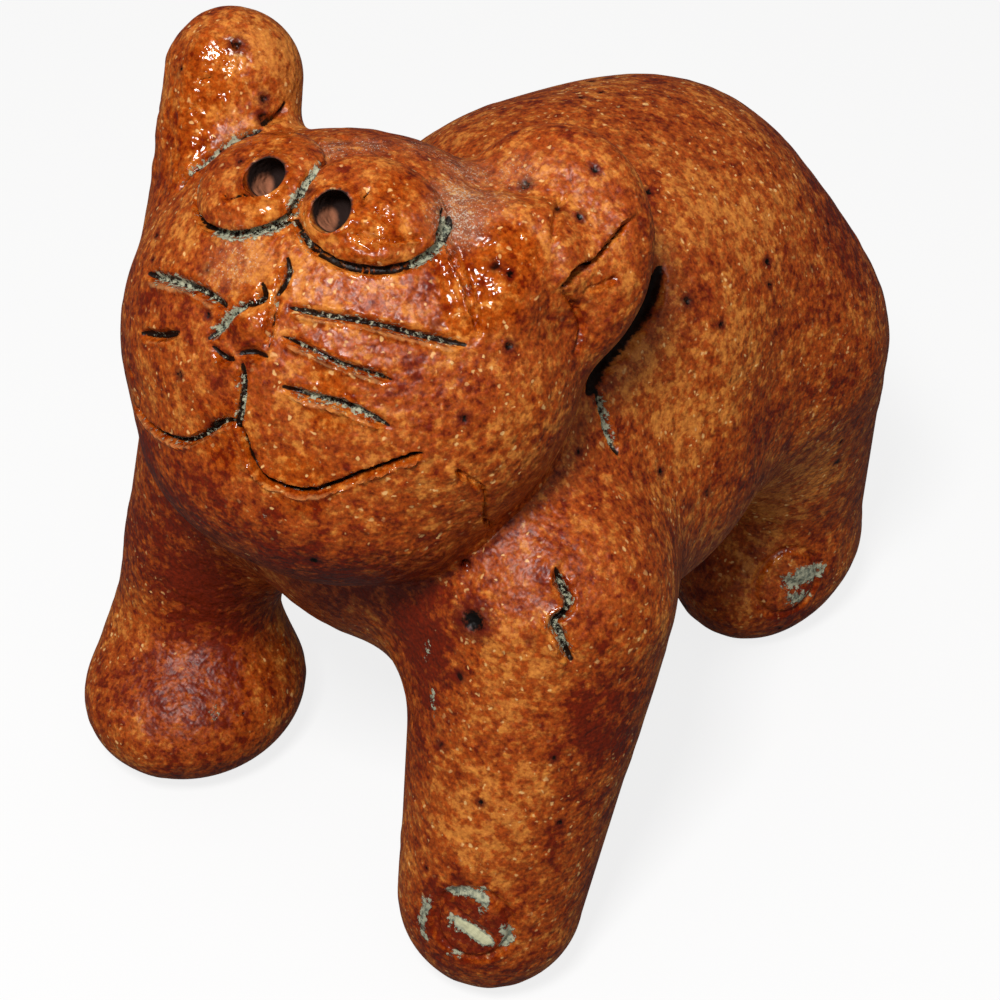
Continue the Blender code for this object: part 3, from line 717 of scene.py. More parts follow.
def all_pits(clay, points):
    """Places, radii and depths of the burst bubbles: the large ones listed, small ones by chance."""
    places = [drop(clay, [place])[0] for place, _, _ in HEAD_PITS]
    places += [snap(clay, np.array([place]))[0] for place, _, _ in BODY_PITS]
    sizes = [size[1:] for size in (*HEAD_PITS, *BODY_PITS)]
    chance = np.random.default_rng(PIT_SEED)
    picked = chance.choice(len(points), RANDOM_PITS, replace=False)
    places += list(points[picked])
    sizes += [(radius, radius * 0.6) for radius in chance.uniform(0.18, 0.42, RANDOM_PITS)]
    return list(zip(places, *zip(*sizes)))


def select_only(obj):
    bpy.ops.object.select_all(action="DESELECT")
    obj.select_set(True)
    bpy.context.view_layer.objects.active = obj


def apply_modifier(obj, kind, **settings):
    """Adds a modifier with its settings and applies it."""
    modifier = obj.modifiers.new(kind.title(), kind)
    for name, value in settings.items():
        setattr(modifier, name, value)
    select_only(obj)
    bpy.ops.object.modifier_apply(modifier=modifier.name)


def points_of(mesh):
    points = np.empty(len(mesh.vertices) * 3, np.float32)
    mesh.vertices.foreach_get("co", points)
    return points.reshape(-1, 3).astype(float)


def move_points(mesh, points):
    mesh.vertices.foreach_set("co", points.astype(np.float32).ravel())
    mesh.update()


def weld_lumps(clay, spacing):
    """The lumps' own meshes, joined and welded into one closed skin."""
    bpy.ops.object.select_all(action="DESELECT")
    before = set(bpy.data.objects)
    clay.add_mesh()
    lumps = [obj for obj in bpy.data.objects if obj not in before]
    bpy.ops.object.select_all(action="DESELECT")
    for obj in lumps:
        obj.select_set(True)
    bpy.context.view_layer.objects.active = lumps[0]
    bpy.ops.object.join()
    bpy.ops.object.transform_apply(location=True, rotation=True, scale=True)
    skin = bpy.context.object
    apply_modifier(skin, "REMESH", mode="VOXEL", voxel_size=spacing)
    return skin


def within(points, path, room):
    """The points that lie within the room round a path's own box."""
    inside = (points > path.min(axis=0) - room) & (points < path.max(axis=0) + room)
    return np.flatnonzero(inside.all(axis=1))


def patched(points, patches):
    """The sum of soft patches at each point."""
    total = np.zeros(len(points))
    for centre, radius, amount in patches:
        total += amount * bump_at(points, np.array(centre), radius * PATCH_REACH)
    return total


def bump_at(points, centre, radius):
    """A soft bump from 1 at the centre to 0 at the radius."""
    share = np.clip(1 - ((points - centre) ** 2).sum(axis=1) / radius**2, 0.0, 1.0)
    return share * share


def ledge(points, path, side, height, width):
    """A low step that stands up on one side of a path and fades out over the width."""
    moved = np.zeros(len(points))
    near = within(points, path, width * 1.1)
    gap = np.full(len(near), np.inf)
    over = np.zeros(len(near))
    for start, end in zip(path, path[1:]):
        middle = (start + end) / 2
        away = points[near] - middle
        length = np.sqrt((away * away).sum(axis=1))
        closer = length < gap
        gap[closer] = length[closer]
        over[closer] = (away[closer] * side).sum(axis=1)
    share = np.clip(1 - gap / width, 0.0, 1.0)
    moved[near] = height * share * share * np.clip(over / 0.35, 0.0, 1.0)
    return moved


def shape_skin(clay, eyes, marks, settings):
    """Presses the unevenness, the marks and the bubbles into a fine skin. Returns it and its pits."""
    skin = weld_lumps(clay, settings.spacing / MM)
    points = snap(clay, points_of(skin.data))
    out = slope(clay, points)
    pits = all_pits(clay, points)
    off_ground = np.clip(points[:, 2] / 3.0, 0.0, 1.0)
    swell = ripple(points, 11.0, 1.7) + 0.45 * ripple(points, 4.5, 9.2) + 0.22 * ripple(points, 1.7, 4.4)
    ears = np.maximum(*(bump_at(points, on_head(place), radius) for place, radius in ROUGH_EARS))
    swell += ears * (0.9 * ripple(points, 1.5, 7.7) + 0.7 * ripple(points * (1.0, 1.0, 0.4), 0.9, 2.9))
    moved = settings.unevenness / MM * swell * off_ground

    ridge = drop(clay, smooth_path(RIGHT_EAR_RIDGE, 0.6))
    for centre in ridge:
        moved = np.maximum(moved, RIDGE_HEIGHT * bump_at(points, centre, 2.0))
    fold = drop(clay, smooth_path(LEFT_EAR_FOLD, 0.5))
    moved += ledge(points, fold, unit(-FACE[:, 0] + 0.5 * FACE[:, 1]), *LEDGES["left ear fold"])
    cheek = drop(clay, smooth_path(TORN_CHEEK, 0.5))
    moved += ledge(points, cheek, -FACE[:, 0], *LEDGES["torn cheek"])
    for place, height, radius in SWELLINGS:
        moved += height * bump_at(points, drop(clay, [place])[0], radius)
    brow = drop(clay, smooth_path(SEAMS["brow seam"][0], 0.5))
    moved += ledge(points, brow, FACE[:, 0], *LEDGES["brow seam"])
    leg = snap(clay, smooth_path(CRACKS["left leg crack"][0], 0.5))
    moved += ledge(points, leg, -UPRIGHT[0], *LEDGES["left leg crack"])

    groove = np.zeros(len(points))
    lip = np.zeros(len(points))
    for mark in marks:
        pressed = mark.press(points, out)
        groove = np.minimum(groove, pressed)
        lip = np.maximum(lip, pressed)
    moved += groove + np.where(groove < -0.05, 0.0, lip)
    for centre, radius, depth in pits:
        moved -= depth * bump_at(points, centre, radius)
        moved += 0.12 * depth * bump_at(points, centre, radius * 2.0)
    for pellet, place in zip(eyes, (RIGHT_PUPIL, LEFT_PUPIL)):
        seat = drop(clay, [place])[0]
        gap = np.sqrt(((points - seat) ** 2).sum(axis=1)) / (settings.pupil_radius / MM)
        rim = PUPIL_RIM_HEIGHT * np.exp(-(((gap - 1.12) / 0.22) ** 2))
        moved += rim * (1 + 0.6 * ripple(points, 0.6, 2.2))
    points = points + out * moved[:, None]
    points[points[:, 2] < SOLE_BLEND / 8, 2] = 0.0
    move_points(skin.data, points)
    skin.data.calc_loop_triangles()
    ratio = settings.facets / len(skin.data.loop_triangles)
    apply_modifier(skin, "DECIMATE", ratio=min(ratio, 1.0), use_collapse_triangulate=True)
    return skin, pits


def punch_pupil(skin, clay, place, settings):
    """Cuts a round hole with a rounded floor, as a stick leaves that was pushed in from below."""
    seat = drop(clay, [place])[0]
    out = slope(clay, seat[None])[0]
    axis = unit(out - PUPIL_LEAN * FACE[:, 1])
    radius = settings.pupil_radius / MM
    depth = settings.pupil_depth / MM
    bpy.ops.object.select_all(action="DESELECT")
    bpy.ops.mesh.primitive_cone_add(
        vertices=48,
        radius1=radius * 0.82,
        radius2=radius * 1.12,
        depth=2 * depth,
        location=seat,
        rotation=Vector(axis).to_track_quat("Z", "Y").to_euler(),
    )
    pin = bpy.context.object
    bpy.ops.object.mode_set(mode="EDIT")
    bpy.ops.mesh.select_all(action="DESELECT")
    bpy.ops.object.mode_set(mode="OBJECT")
    for edge in pin.data.edges:
        edge.select = all(pin.data.vertices[i].co.z < 0 for i in edge.vertices)
    bpy.ops.object.mode_set(mode="EDIT")
    bpy.ops.mesh.bevel(offset=radius * 0.35, segments=4, affect="EDGES")
    bpy.ops.object.mode_set(mode="OBJECT")
    apply_modifier(pin, "REMESH", mode="VOXEL", voxel_size=radius * 0.12)
    apply_modifier(skin, "BOOLEAN", operation="DIFFERENCE", object=pin)
    bpy.data.objects.remove(pin, do_unlink=True)
    return seat, axis


def keep_attribute(mesh, name, values):
    attribute = mesh.attributes.new(name, "FLOAT", "POINT")
    attribute.data.foreach_set("value", values.astype(np.float32))


def note_what_lies_in_the_marks(mesh, clay, marks, pits, pupils, settings):
    """Attributes for the glaze: strokes, grit, lips, bubbles, dust, pale patches of tone and painted shade,
    and the pupils' painted shade.
    """
    points = points_of(mesh)
    out = slope(clay, points)
    line = np.zeros(len(points))
    grit = np.zeros(len(points))
    lip = np.zeros(len(points))
    pooled = np.zeros(len(points))
    for mark in marks:
        near, ratio, side, full = mark.measure(points, out)
        below = np.clip(side, 0.0, 1.0)
        run = np.exp(-(((ratio - 0.7) / 0.4) ** 2)) * np.clip(0.5 + side, 0.0, 1.0) * np.sqrt(full)
        pooled[near] = np.maximum(pooled[near], run * min(mark.lip / 0.2, 1.0))
        black = mark.ink * np.clip(1.05 - ratio * (1 + 0.7 * below), 0.0, 1.0)
        line[near] = np.maximum(line[near], black)
        grit[near] = np.maximum(grit[near], mark.grit * np.clip(1.4 - ratio, 0.0, 1.0) * full)
        raised = np.exp(-(((ratio - 1.1) / 0.45) ** 2)) * (0.3 + 0.7 * below) * full
        lip[near] = np.maximum(lip[near], raised * min(mark.lip / 0.25, 1.0))
    layers = [(drop, *arc) for arc in GRIT_ARCS.values()] + [(snap, *patch) for patch in SLIP.values()]
    for lay, corners, width, share in layers:
        path = lay(clay, smooth_path(corners))
        near, ratio, _, full = Mark(path, width, 0.8).measure(points, out)
        grit[near] = np.maximum(grit[near], share * np.clip(1.6 - ratio, 0.0, 1.0) * np.sqrt(full))
    bubble = np.full(len(points), 3.0)
    for centre, radius, _ in pits:
        gap = np.sqrt(((points - centre) ** 2).sum(axis=1)) / radius
        bubble = np.minimum(bubble, gap)
    # The glaze's paler zones, and the darker patches that paint shade
    pale = patched(points, TONE_AND_SHADE_PATCHES)
    wet = np.maximum(patched(points, WET_PATCHES), 0.9 * pooled * (1.0 - grit))
    dust = np.zeros(len(points))
    for place, radius, share in DUST:
        dust = np.maximum(dust, share * bump_at(points, drop(clay, [place])[0], radius * 1.5))
    # Each pupil's walls are painted dark as shade, down to a tongue of bare clay on the floor where the light
    # reaches
    hole = np.zeros(len(points))
    floor = np.zeros(len(points))
    beside = unit(np.cross(FACE[:, 1], FACE @ unit(PUPIL_SIGHT)))
    radius = settings.pupil_radius / MM
    for seat, axis in pupils:
        offset = points - seat
        depth = -(offset * axis).sum(axis=1)
        flat = np.sqrt(np.maximum((offset * offset).sum(axis=1) - depth * depth, 0.0)) / radius
        close = (offset * offset).sum(axis=1) < (2.4 * radius) ** 2
        # A paler ring round each pupil's rim, partly a painted highlight
        lip = np.where(close, np.maximum(lip, 0.45 * np.exp(-(((flat - 1.2) / 0.16) ** 2))), lip)
        inside = (flat < 1.01) & close
        hole[inside] = np.clip((depth[inside] + 0.3) / 0.5, 0.0, 1.0)
        across = offset @ beside / (0.48 * radius)
        up = (offset @ FACE[:, 1] + 0.5 * radius) / (0.66 * radius)
        tongue = np.hypot(across, up)
        floor[inside] = np.clip(2.5 * (1.1 - tongue[inside]), 0.0, 1.0) * (depth[inside] > 0.4)
    for name, values in (
        ("line", line), ("grit", grit), ("lip", lip), ("bubble", np.minimum(bubble, 3.0)), ("pale", pale),
        ("wet", np.clip(wet, -1.0, 1.0)), ("dust", dust), ("hole", hole), ("floor", floor),
    ):
        keep_attribute(mesh, name, values)


def scale_of(size_mm):
    """A pattern's scale on metre coordinates for a feature of the given size."""
    return 1 / (size_mm * MM)


def add_node(tree, kind, inputs=None, output=0, **settings):
    """Adds a node with its settings, feeds its inputs from values or outputs, returns one output."""
    made = tree.nodes.new("ShaderNode" + kind)
    for name, value in settings.items():
        setattr(made, name, value)
    for key, value in (inputs or {}).items():
        if isinstance(value, bpy.types.NodeSocket):
            tree.links.new(value, made.inputs[key])
        else:
            made.inputs[key].default_value = value
    return made.outputs[output]


def glazed_stoneware(glaze):
    """Iron-brown gloss glaze over coarse grogged stoneware, fired in one go.

    It gives the eye a wet shine on a pebbly skin, brown and golden in small soft clouds, cream grog
    and red-rimmed iron spots in it, black where the needle went, and pale grit in the deepest marks.
    It also paints shade: darker patches under the chin and on the legs, flank and rump, black in the
    cleft behind the left ear, under the eye pellets and on the pupils' walls; the lips are lighter
    partly as a painted highlight.
    """
    material = bpy.data.materials.new("Glazed grogged stoneware")
    material.use_nodes = True
    tree = material.node_tree
    shader = tree.nodes["Principled BSDF"]
    place = add_node(tree, "TexCoord", output="Object")
    line, grit, lip, bubble, pale, wet, dust, hole, floor = (
        add_node(tree, "Attribute", output="Fac", attribute_name=name)
        for name in ("line", "grit", "lip", "bubble", "pale", "wet", "dust", "hole", "floor")
    )

    # Drifts of 9 mm, clouds of 2 mm, flecks of 0.6 mm, grain of 0.35 mm, specks of 0.16 mm and
    # crumbs of 0.5 mm, all drawn as coarse as they need to show
    drifts, clouds, flecks, grain, specks, crumbs = (
        add_node(
            tree, "TexNoise",
            {"Vector": place, "Scale": scale_of(size), "Detail": detail, "Roughness": roughness},
        )
        for size, detail, roughness in (
            (9.0, 2.0, 0.5), (2.0, 2.0, 0.5), (0.6, 4.0, 0.7),
            (0.35, 3.0, 0.65), (0.16, 2.0, 0.6), (0.5, 3.0, 0.7),
        )
    )
    scatter = add_node(tree, "TexNoise", {"Vector": place, "Scale": scale_of(0.7), "Detail": 1.0}, "Color")
    wander = add_node(tree, "Mix", {0: 0.0008, 4: place, 5: scatter}, 1, data_type="VECTOR")

    # Soft grains of 0.65 mm, each with a tone of its own
    grains = add_node(
        tree, "TexVoronoi", {"Vector": wander, "Scale": scale_of(0.65), "Smoothness": 1.0}, "Color",
        feature="SMOOTH_F1",
    )
    tone = add_node(tree, "SeparateColor", {0: grains})
    tone = add_node(tree, "Math", {0: tone, 1: 0.16, 2: 0.0}, operation="MULTIPLY_ADD")
    # The patches of tone and painted shade darken and lighten the glaze here
    for part, share in ((drifts, 0.26), (clouds, 0.30), (flecks, 0.42), (pale, 0.09)):
        tone = add_node(tree, "Math", {0: part, 1: share, 2: tone}, operation="MULTIPLY_ADD")

    # Spots in cells of 0.7, 2 and 5 mm: how far inside one a place lies, in cells
    spots = []
    for size, spread, start in ((0.7, 0.60, -0.20), (2.0, 0.31, -0.20), (5.0, 0.30, -0.18)):
        cells = add_node(tree, "TexVoronoi", {"Vector": wander, "Scale": scale_of(size)}).node
        chance = add_node(tree, "SeparateColor", {0: cells.outputs["Color"]})
        reach = add_node(tree, "Math", {0: chance, 1: spread, 2: start}, operation="MULTIPLY_ADD")
        spots.append(add_node(tree, "Math", {0: reach, 1: cells.outputs["Distance"]}, operation="SUBTRACT"))
    small, large, spot = spots

    # Sums of patterns that decide where the finishes below begin and end
    sums = {}
    for name, first, share, second in (
        ("rich", pale, 0.12, drifts), ("rim", grain, 1.2, bubble), ("thin_glaze_and_painted_highlight", flecks, 0.6, lip),
        ("sprinkled", flecks, 0.35, specks), ("broken", grain, 0.5, line), ("filled", grit, 0.44, crumbs),
    ):
        sums[name] = add_node(tree, "Math", {0: first, 1: share, 2: second}, operation="MULTIPLY_ADD")
    for name, first, share, second in (
        ("dusted", dust, 0.16, sums["sprinkled"]), ("ragged", flecks, 0.5, sums["broken"]),
    ):
        sums[name] = add_node(tree, "Math", {0: first, 1: share, 2: second}, operation="MULTIPLY_ADD")

    # How much of each finish lies at a place: (what decides it, where it begins, where it is full, most)
    share_of = {
        name: add_node(
            tree, "MapRange", {"Value": value, "From Min": low, "From Max": high, "To Max": most},
            interpolation_type="SMOOTHSTEP",
        )
        for name, value, low, high, most in (
            ("rust", tone, 0.43, 0.56, 1.0),
            ("honey", tone, 0.55, 0.70, 1.0),
            ("rich", sums["rich"], 0.34, 0.56, 1.0),
            ("gold", small, 0.0, 0.20, 0.85),
            ("grog", large, 0.0, 0.14, 0.85),
            ("halo", spot, -0.12, 0.03, 0.8),
            ("core", spot, 0.0, 0.06, 0.9),
            ("bubble rim", sums["rim"], 2.9, 1.5, 0.85),
            ("bubble", sums["rim"], 1.6, 1.1, 1.0),
            ("lip", sums["thin_glaze_and_painted_highlight"], 0.75, 1.35, 0.35),
            ("dust", dust, 0.0, 0.3, 1.0),
            ("sprinkled", sums["dusted"], 0.82, 0.94, 0.7),
            ("line", line, 0.0, 0.15, 1.0),
            ("ink", sums["ragged"], 0.84, 1.08, 0.98),
            ("grit", grit, 0.02, 0.2, 1.0),
            ("packed", sums["filled"], 0.68, 0.80, 1.0),
            ("stone", crumbs, 0.40, 0.62, 1.0),
        )
    }
    for name, limit in (("gold", "rich"), ("sprinkled", "dust"), ("ink", "line"), ("packed", "grit")):
        share_of[name] = add_node(tree, "Math", {0: share_of[name], 1: share_of[limit]}, operation="MULTIPLY")
    packed = share_of["packed"]
    haze = add_node(tree, "Math", {0: dust, 1: 0.5}, operation="MULTIPLY")
    grit_tones = {0: share_of["stone"], 6: (*glaze.grit, 1.0), 7: (*glaze.crumb, 1.0)}
    stone = add_node(tree, "Mix", grit_tones, 2, data_type="RGBA")
    solid = add_node(tree, "MapRange", {"Value": grit, "From Min": 1.0, "From Max": 1.4, "To Max": 0.85})
    stone = add_node(tree, "Mix", {0: solid, 6: stone, 7: (*glaze.slip, 1.0)}, 2, data_type="RGBA")
    contrast = {"Value": grain, "From Min": 0.3, "From Max": 0.7, "To Min": 0.15, "To Max": 0.85}
    grain_tone = add_node(tree, "MapRange", contrast)

    # The finishes one over the other: thick brown glaze, rust and honey where it thins and where the
    # patches of tone and painted shade say, the grog's grain, golden and cream grog, iron spots, bubbles,
    # lips lighter partly as a painted highlight, dust, needle lines, grit, and the pupils' walls painted
    # dark as shade
    brown = {0: share_of["rust"], 6: (*glaze.iron, 1.0), 7: (*glaze.rust, 1.0)}
    base = add_node(tree, "Mix", brown, 2, data_type="RGBA")
    for share, colour, kind in (
        (share_of["honey"], glaze.honey, "MIX"),
        (0.6, grain_tone, "OVERLAY"),
        (share_of["gold"], glaze.gold, "MIX"),
        (share_of["grog"], glaze.grog, "MIX"),
        (share_of["halo"], glaze.red, "MIX"),
        (share_of["core"], glaze.ink, "MIX"),
        (share_of["bubble rim"], glaze.red, "MIX"),
        (share_of["bubble"], glaze.ink, "MIX"),
        # lighter lips: thin glaze, and partly a painted highlight
        (share_of["lip"], glaze.lip, "MIX"),
        (haze, glaze.dusty, "MIX"),
        (share_of["sprinkled"], glaze.dust, "MIX"),
        (share_of["ink"], glaze.ink, "MIX"),
        (packed, stone, "MIX"),
        # the pupils' walls, painted dark as shade
        (hole, glaze.painted_pupil_shade, "MIX"),
        (floor, glaze.bare, "MIX"),
    ):
        over = colour if isinstance(colour, bpy.types.NodeSocket) else (*colour, 1.0)
        base = add_node(tree, "Mix", {0: share, 6: base, 7: over}, 2, data_type="RGBA", blend_type=kind)
    tree.links.new(base, shader.inputs["Base Color"])

    # Shine: wet in places, in the strokes and on their lips, satin between, dull on dust and grit
    gloss = add_node(tree, "Math", {0: lip, 1: 1.0, 2: wet}, operation="MULTIPLY_ADD")
    gloss = add_node(tree, "Math", {0: clouds, 1: -0.5, 2: gloss}, operation="MULTIPLY_ADD")
    rough = add_node(
        tree, "MapRange",
        {"Value": gloss, "From Min": -0.85, "From Max": 0.35, "To Min": glaze.dull, "To Max": glaze.wet},
    )
    dry = add_node(tree, "Math", {0: dust, 1: 0.6}, operation="MULTIPLY")
    burnt = add_node(tree, "Math", {0: share_of["ink"], 1: 0.1}, operation="MULTIPLY")
    for part in (packed, hole, burnt):
        dry = add_node(tree, "Math", {0: dry, 1: part}, operation="MAXIMUM")
    rough = add_node(tree, "Mix", {0: dry, 2: rough, 3: 0.85}, 0)
    tree.links.new(rough, shader.inputs["Roughness"])
    shader.inputs["IOR"].default_value = 1.5
    shader.inputs["Specular IOR Level"].default_value = glaze.shine

    # Relief: swells of 1.6 mm, pebbles of 0.75 and 0.35 mm, grog standing proud, spots sunk in, grit
    swells, pebbles, fine = (
        add_node(
            tree, "TexNoise", {"Vector": place, "Scale": scale_of(size), "Detail": detail, "Roughness": 0.4}
        )
        for size, detail in ((1.6, 1.0), (0.75, 1.0), (0.35, 0.0))
    )
    proud = add_node(tree, "Math", {0: share_of["grog"], 1: share_of["core"]}, operation="SUBTRACT")
    relief = None
    for height, depth_mm in ((swells, 0.22), (pebbles, 0.20), (fine, 0.05), (proud, 0.04), (packed, 0.08)):
        inputs = {"Distance": depth_mm * MM, "Height": height}
        if relief:
            inputs["Normal"] = relief
        relief = add_node(tree, "Bump", inputs)
    tree.links.new(relief, shader.inputs["Normal"])
    return material


def length(name, description, default, least):
    """A length that the user can change."""
    return FloatProperty(
        name=name, description=description, default=default, min=least, unit="LENGTH", precision=5
    )


def amount(name, description, default, least=0.0, most=1.0):
    """A share or strength that the user can change."""
    return FloatProperty(name=name, description=description, default=default, min=least, max=most)


def tint(name, description, colour):
    """A colour that the user can change, given as sRGB hex."""
    return FloatVectorProperty(
        name=name, description=description, subtype="COLOR", default=linear(colour), min=0, max=1
    )


class ClaySettings(bpy.types.PropertyGroup):
    """Sizes of the clay's skin."""

    spacing: length("Skin spacing", "Spacing of the skin's points before it is thinned", 0.00027, 0.0002)
    facets: IntProperty(
        name="Facets", description="Triangles in the finished skin", default=190000, min=20000
    )
    unevenness: length("Unevenness", "How far the hand-pressed clay swells and dips", 0.00032, 0.0)
    pupil_radius: length("Pupil radius", "Radius of the holes punched for the pupils", 0.0018, 0.0005)
    pupil_depth: length("Pupil depth", "Depth of the holes punched for the pupils", 0.0032, 0.0005)


class GlazeSettings(bpy.types.PropertyGroup):
    """Colours and shine of the glaze."""

    iron: tint("Thick glaze", "Brown where the glaze lies thick", "#701c01")
    rust: tint("Glaze", "Orange brown of most of the glaze", "#a34409")
    honey: tint("Thin glaze", "Honey colour where the glaze is thin", "#d07b2f")
    gold: tint("Fine grog", "Small golden grains under the glaze", "#f2bd78")
    grog: tint("Grog", "Cream grains under the glaze", "#f2cf92")
    red: tint("Iron rim", "Red round the iron spots and bubbles", "#5c1002")
    ink: tint("Lines", "Near black of the needle lines", "#0a0402")
    # Lighter thin glaze on the lips, partly a painted highlight
    lip: tint("Lips", "Thin glaze and painted highlight on the raised edges of lines", "#dca468")
    dusty: tint("Dusty glaze", "Glaze greyed by dust on the brow", "#94694a")
    dust: tint("Dust", "Grains of dust on the brow", "#c8bba8")
    grit: tint("Grit", "Dark side of the grit in the marks", "#666c5e")
    crumb: tint("Crumbs", "Pale side of the grit in the marks", "#b0af94")
    slip: tint("Slip", "Slip that lies thick on the paws", "#cdcaa2")
    # The pupils' walls are painted dark as shade
    painted_pupil_shade: tint("Pupil wall", "Painted shade on the walls of the pupils", "#1d0903")
    bare: tint("Pupil floor", "Bare clay on the floor of the pupils", "#a8694a")
    wet: amount("Wet glaze", "Roughness where the glaze shines", 0.1, 0.02)
    dull: amount("Dull glaze", "Roughness where the glaze stayed dull", 0.8, 0.02)
    shine: amount("Shine", "Strength of the glaze's reflections", 0.34)


class StageSettings(bpy.types.PropertyGroup):
    """The stage's floor, lamp, room light and camera."""

    floor: tint("Floor", "Colour of the floor", "#f8f7f6")
    lift: amount("Lift", "How far the floor is lifted to white; the rest keeps the shadow", 0.82)
    bounce: amount("Bounce", "Share of the floor's colour in the light it throws back up", 0.2)
    key: amount("Lamp", "Power of the lamp by the camera, in watts", 1.16, 0.0, 100.0)
    lamp_size: length("Lamp size", "Width of the lamp", 0.08, 0.01)
    room: amount("Room light", "Strength of the light from all sides", 0.34, 0.0, 10.0)
    mirrored: amount("Room in reflections", "How bright the white room shows in the glaze", 0.06)
    lamp_distance: length("Lamp distance", "From the lamp to the cat", 0.38, 0.1)
    distance: length("Camera distance", "From the camera to the cat", 0.235, 0.05)
    lens: amount("Lens", "Focal length of the camera, in millimetres", 84.6, 10.0, 500.0)


class FIGURINE_OT_cat(bpy.types.Operator):
    """Models the cat's skin with its marks and glazes it"""

    bl_idname = "figurine.cat"
    bl_label = "Glazed cat"

    def execute(self, context):
        settings = context.scene.figurine_clay
        bare = Standing([*body_lumps(), *head_lumps()])
        eyes = [eye_pellet(bare, *RIGHT_EYE), eye_pellet(bare, *LEFT_EYE)]
        clay = Standing([*bare.lumps, *eyes])
        marks = all_marks(clay, eyes)
        skin, pits = shape_skin(clay, eyes, marks, settings)
        pupils = [punch_pupil(skin, clay, place, settings) for place in (RIGHT_PUPIL, LEFT_PUPIL)]
        note_what_lies_in_the_marks(skin.data, clay, marks, pits, pupils, settings)
        select_only(skin)
        bpy.ops.object.shade_smooth_by_angle(angle=np.radians(SMOOTH_UNDER_DEG))
        points = points_of(skin.data)
        lowest, highest = (np.array(corner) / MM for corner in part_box("cat_figurine"))
        middle = (points.min(axis=0) + points.max(axis=0) - lowest - highest) / 2
        middle[2] = 0.0
        move_points(skin.data, (points - middle) * MM)
        skin.name = "glazed_cat"
        skin.data.name = "glazed_cat"
        skin.data.materials.append(glazed_stoneware(context.scene.figurine_glaze))
        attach(skin, "root")
        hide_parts("cat_figurine")
        return {"FINISHED"}


def camera_axes():
    """The camera's right, up and back directions, as columns."""
    azimuth, elevation, roll = np.radians([CAMERA_AZIMUTH_DEG, CAMERA_ELEVATION_DEG, CAMERA_ROLL_DEG])
    right = np.array([np.cos(azimuth), np.sin(azimuth), 0.0])
    ahead = np.array([np.sin(azimuth), -np.cos(azimuth), 0.0])
    back = np.cos(elevation) * ahead + np.sin(elevation) * UPRIGHT[2]
    up = np.cross(back, right)
    turned = np.cos(roll) * right + np.sin(roll) * up
    return np.stack([turned, np.cross(back, turned), back], axis=1)


def share_seen(tree, mirrored):
    """1 for what the camera sees, straight or through glass, and the given share for reflections."""
    camera, through, glossy = (
        add_node(tree, "LightPath", output=f"Is {kind} Ray") for kind in ("Camera", "Transmission", "Glossy")
    )
    straight = add_node(tree, "Math", {0: camera, 1: through}, operation="MAXIMUM")
    glossy = add_node(tree, "Math", {0: glossy, 1: mirrored}, operation="MULTIPLY")
    return add_node(tree, "Math", {0: straight, 1: glossy}, operation="MAXIMUM")


def matt_paper(stage):
    """Plain matt white paper: it is seen lit to white, and the figurine's shadow stays on it."""
    material = bpy.data.materials.new("Matt white paper")
    material.use_nodes = True
    tree = material.node_tree
    shader = tree.nodes["Principled BSDF"]
    seen = share_seen(tree, stage.mirrored)
    thrown = tuple(stage.bounce * value for value in stage.floor)
    colour = add_node(tree, "Mix", {0: seen, 6: (*thrown, 1.0), 7: (*stage.floor, 1.0)}, 2, data_type="RGBA")
    tree.links.new(colour, shader.inputs["Base Color"])
    shader.inputs["Roughness"].default_value = 0.9
    shader.inputs["Specular IOR Level"].default_value = 0.1
    glow = add_node(tree, "Emission", {"Color": (1.0, 1.0, 1.0, 1.0), "Strength": seen})
    share = add_node(tree, "MapRange", {"Value": seen, "From Max": stage.mirrored, "To Max": stage.lift})
    both = add_node(tree, "MixShader", {0: share, 1: shader.outputs[0], 2: glow})
    tree.links.new(both, tree.nodes["Material Output"].inputs["Surface"])
    return material


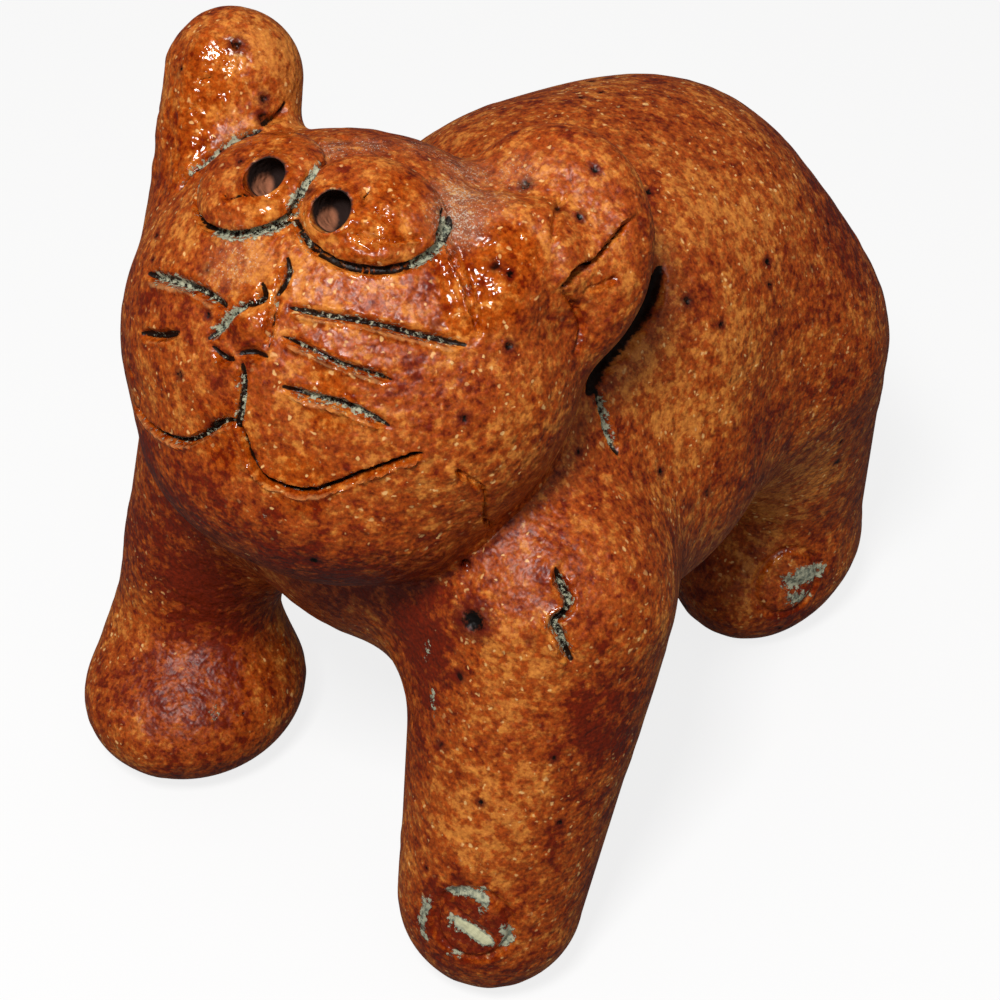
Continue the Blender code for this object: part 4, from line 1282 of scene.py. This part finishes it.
class FIGURINE_OT_stage(bpy.types.Operator):
    """Adds the floor, the lamp, the room light and the camera"""

    bl_idname = "figurine.stage"
    bl_label = "Stage"

    def execute(self, context):
        stage = context.scene.figurine_stage
        bpy.ops.object.select_all(action="DESELECT")
        bpy.ops.mesh.primitive_plane_add(size=FLOOR_SIZE, location=(0.0, 0.0, 0.0))
        floor = context.object
        floor.name = "floor"
        floor.data.materials.append(matt_paper(stage))

        world = bpy.data.worlds.new("Room light")
        world.use_nodes = True
        tree = world.node_tree
        room = tree.nodes["Background"]
        room.inputs["Color"].default_value = (1.0, 1.0, 1.0, 1.0)
        seen = share_seen(tree, stage.mirrored)
        rays = add_node(tree, "LightPath", output="Is Glossy Ray")
        spread = add_node(tree, "MapRange", {"Value": rays, "To Min": stage.room, "To Max": stage.mirrored})
        strength = add_node(tree, "Math", {0: seen, 1: spread}, operation="MAXIMUM")
        tree.links.new(strength, room.inputs["Strength"])
        context.scene.world = world

        axes = camera_axes()
        target = np.array(CAMERA_TARGET) * MM
        aim = unit(axes @ np.array(LAMP_AIM))
        lamp_place = target + stage.lamp_distance * aim
        turn = Vector(aim).to_track_quat("Z", "Y").to_euler()
        bpy.ops.object.light_add(type="AREA", location=lamp_place, rotation=turn)
        lamp = context.object
        lamp.name = "lamp"
        lamp.data.energy = stage.key
        lamp.data.size = stage.lamp_size

        bpy.ops.object.camera_add(location=target + stage.distance * axes[:, 2])
        camera = context.object
        camera.matrix_world = Matrix.Translation(camera.location) @ Matrix(axes).to_4x4()
        camera.data.sensor_width = 36.0
        camera.data.lens = stage.lens
        camera.data.clip_start = 0.01
        camera.data.clip_end = 10.0
        context.scene.camera = camera
        context.scene.view_settings.view_transform = "Standard"
        return {"FINISHED"}


class FIGURINE_PT_panel(bpy.types.Panel):
    """Lists the figurine's settings and operators"""

    bl_idname = "FIGURINE_PT_panel"
    bl_label = "Cat Figurine"
    bl_space_type = "VIEW_3D"
    bl_region_type = "UI"
    bl_category = "Figurine"

    def draw(self, context):
        scene = context.scene
        for title, settings, operator in (
            ("Clay", scene.figurine_clay, "figurine.cat"),
            ("Glaze", scene.figurine_glaze, None),
            ("Stage", scene.figurine_stage, "figurine.stage"),
        ):
            box = self.layout.box()
            box.label(text=title)
            for name in settings.__annotations__:
                box.prop(settings, name)
            if operator:
                box.operator(operator)


CLASSES = (ClaySettings, GlazeSettings, StageSettings, FIGURINE_OT_cat, FIGURINE_OT_stage, FIGURINE_PT_panel)


def register():
    for cls in CLASSES:
        bpy.utils.register_class(cls)
    bpy.types.Scene.figurine_clay = PointerProperty(type=ClaySettings)
    bpy.types.Scene.figurine_glaze = PointerProperty(type=GlazeSettings)
    bpy.types.Scene.figurine_stage = PointerProperty(type=StageSettings)


def unregister():
    for name in ("figurine_clay", "figurine_glaze", "figurine_stage"):
        delattr(bpy.types.Scene, name)
    for cls in reversed(CLASSES):
        bpy.utils.unregister_class(cls)


def main():
    register()
    bpy.ops.figurine.cat()
    bpy.ops.figurine.stage()


if __name__ == "__main__":
    main()
